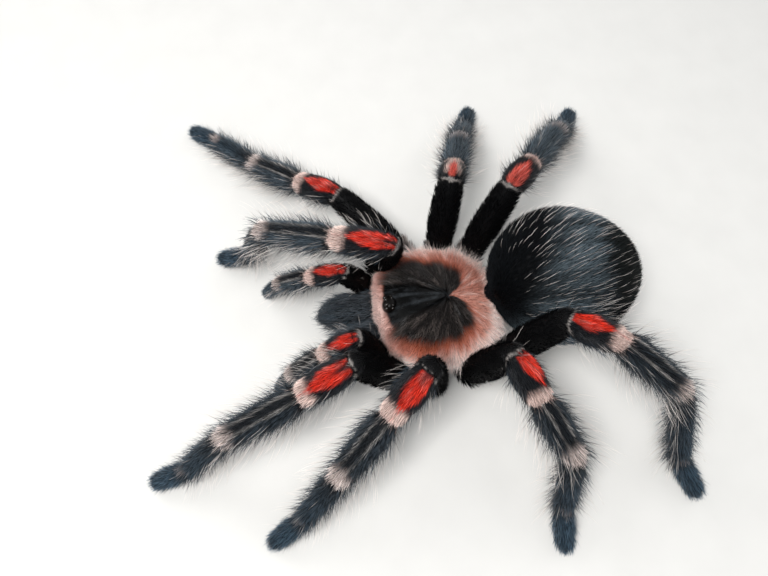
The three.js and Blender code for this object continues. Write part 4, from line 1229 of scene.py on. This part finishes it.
coat("bristles_abdomen", backDensity, setaePlan["abdomen"],
     0.6 + 0.4 * smoothstep(0.1, 0.5, share), backRoot, backTip, setaHair)

# the hair of the carapace

shellUnwrapSize = 30  # mm that the shell's unwrap is wide
shellCorners = meshCorners(carapaceMesh)
outward = unit(np.stack([shellForward - carapacePlan["fovea"], shellLeft, np.zeros_like(shellLeft)], -1))
shellLie = alongSurface(outward[:, :1] * bodyForward + outward[:, 1:2] * bodyLeft, shellNormals)
shellUnwrap = np.stack([0.5 + shellLeft / shellUnwrapSize, 0.5 + shellForward / shellUnwrapSize,
                        np.zeros_like(shellLeft)], -1)
shellBase = dict(shellCorners, points=shellPoints, normals=shellNormals, lie=shellLie, roots=shellRoots,
                 tips=shellTips, unwrap=shellUnwrap[shellCorners["loopPoint"]])
fromMound = np.hypot((shellForward - moundPlan["forward"]) / moundPlan["bareLength"],
                     shellLeft / moundPlan["bareWidth"])
onShell = shellTop & (fromMound >= 1)
bareWedge = smoothstep(0.8, -0.4, np.abs(shellLeft) - (1.6 + 0.22 * np.maximum(shellForward + 2, 0)))
bareWedge = bareWedge * (shellForward > -2)
shellCoatPlan = {
    "short": {"perSquareMm": 22, "seed": 31, "steps": 1, "length": 1.3, "thickness": 0.1, "rise": 26,
              "droop": 14, "uneven": 0.45, "spread": 15},
    "fringe": {"perSquareMm": 15, "seed": 32, "steps": 2, "length": 2.8, "thickness": 0.1, "rise": 34,
               "droop": 2, "uneven": 0.45, "spread": 20},
}
growCoat("coat_carapace", dict(shellBase, density=onShell * (1 - 0.93 * bareWedge),
                               length=np.interp(shellShare, (0, 0.6, 1), (0.6, 0.9, 1.1))),
         shellCoatPlan["short"])
growCoat("fringe_carapace", dict(shellBase, density=onShell * smoothstep(0.9, 0.96, shellShare),
                                 length=np.interp(np.abs(shellTurn), (35, 60), (0.35, 1))),
         shellCoatPlan["fringe"])
print("hair grown")

# the floor

# Matt studio floor: a pale painted board with a trace of grain.
floorMaterial = mottledMaterial("studio_floor_matt_paint", 0.8, 1.5, 9, 5, "#cfcdc9", "#d8d6d2")
floorMesh = bpy.data.meshes.new("floor")
floorHalf = 1.5  # m
floorMesh.from_pydata([(-floorHalf, -floorHalf, 0), (floorHalf, -floorHalf, 0), (floorHalf, floorHalf, 0),
                       (-floorHalf, floorHalf, 0)], [], [(0, 1, 2, 3)])
floorMesh.materials.append(floorMaterial)
floor = bpy.data.objects.new("floor", floorMesh)
bpy.context.collection.objects.link(floor)
print("floor laid")
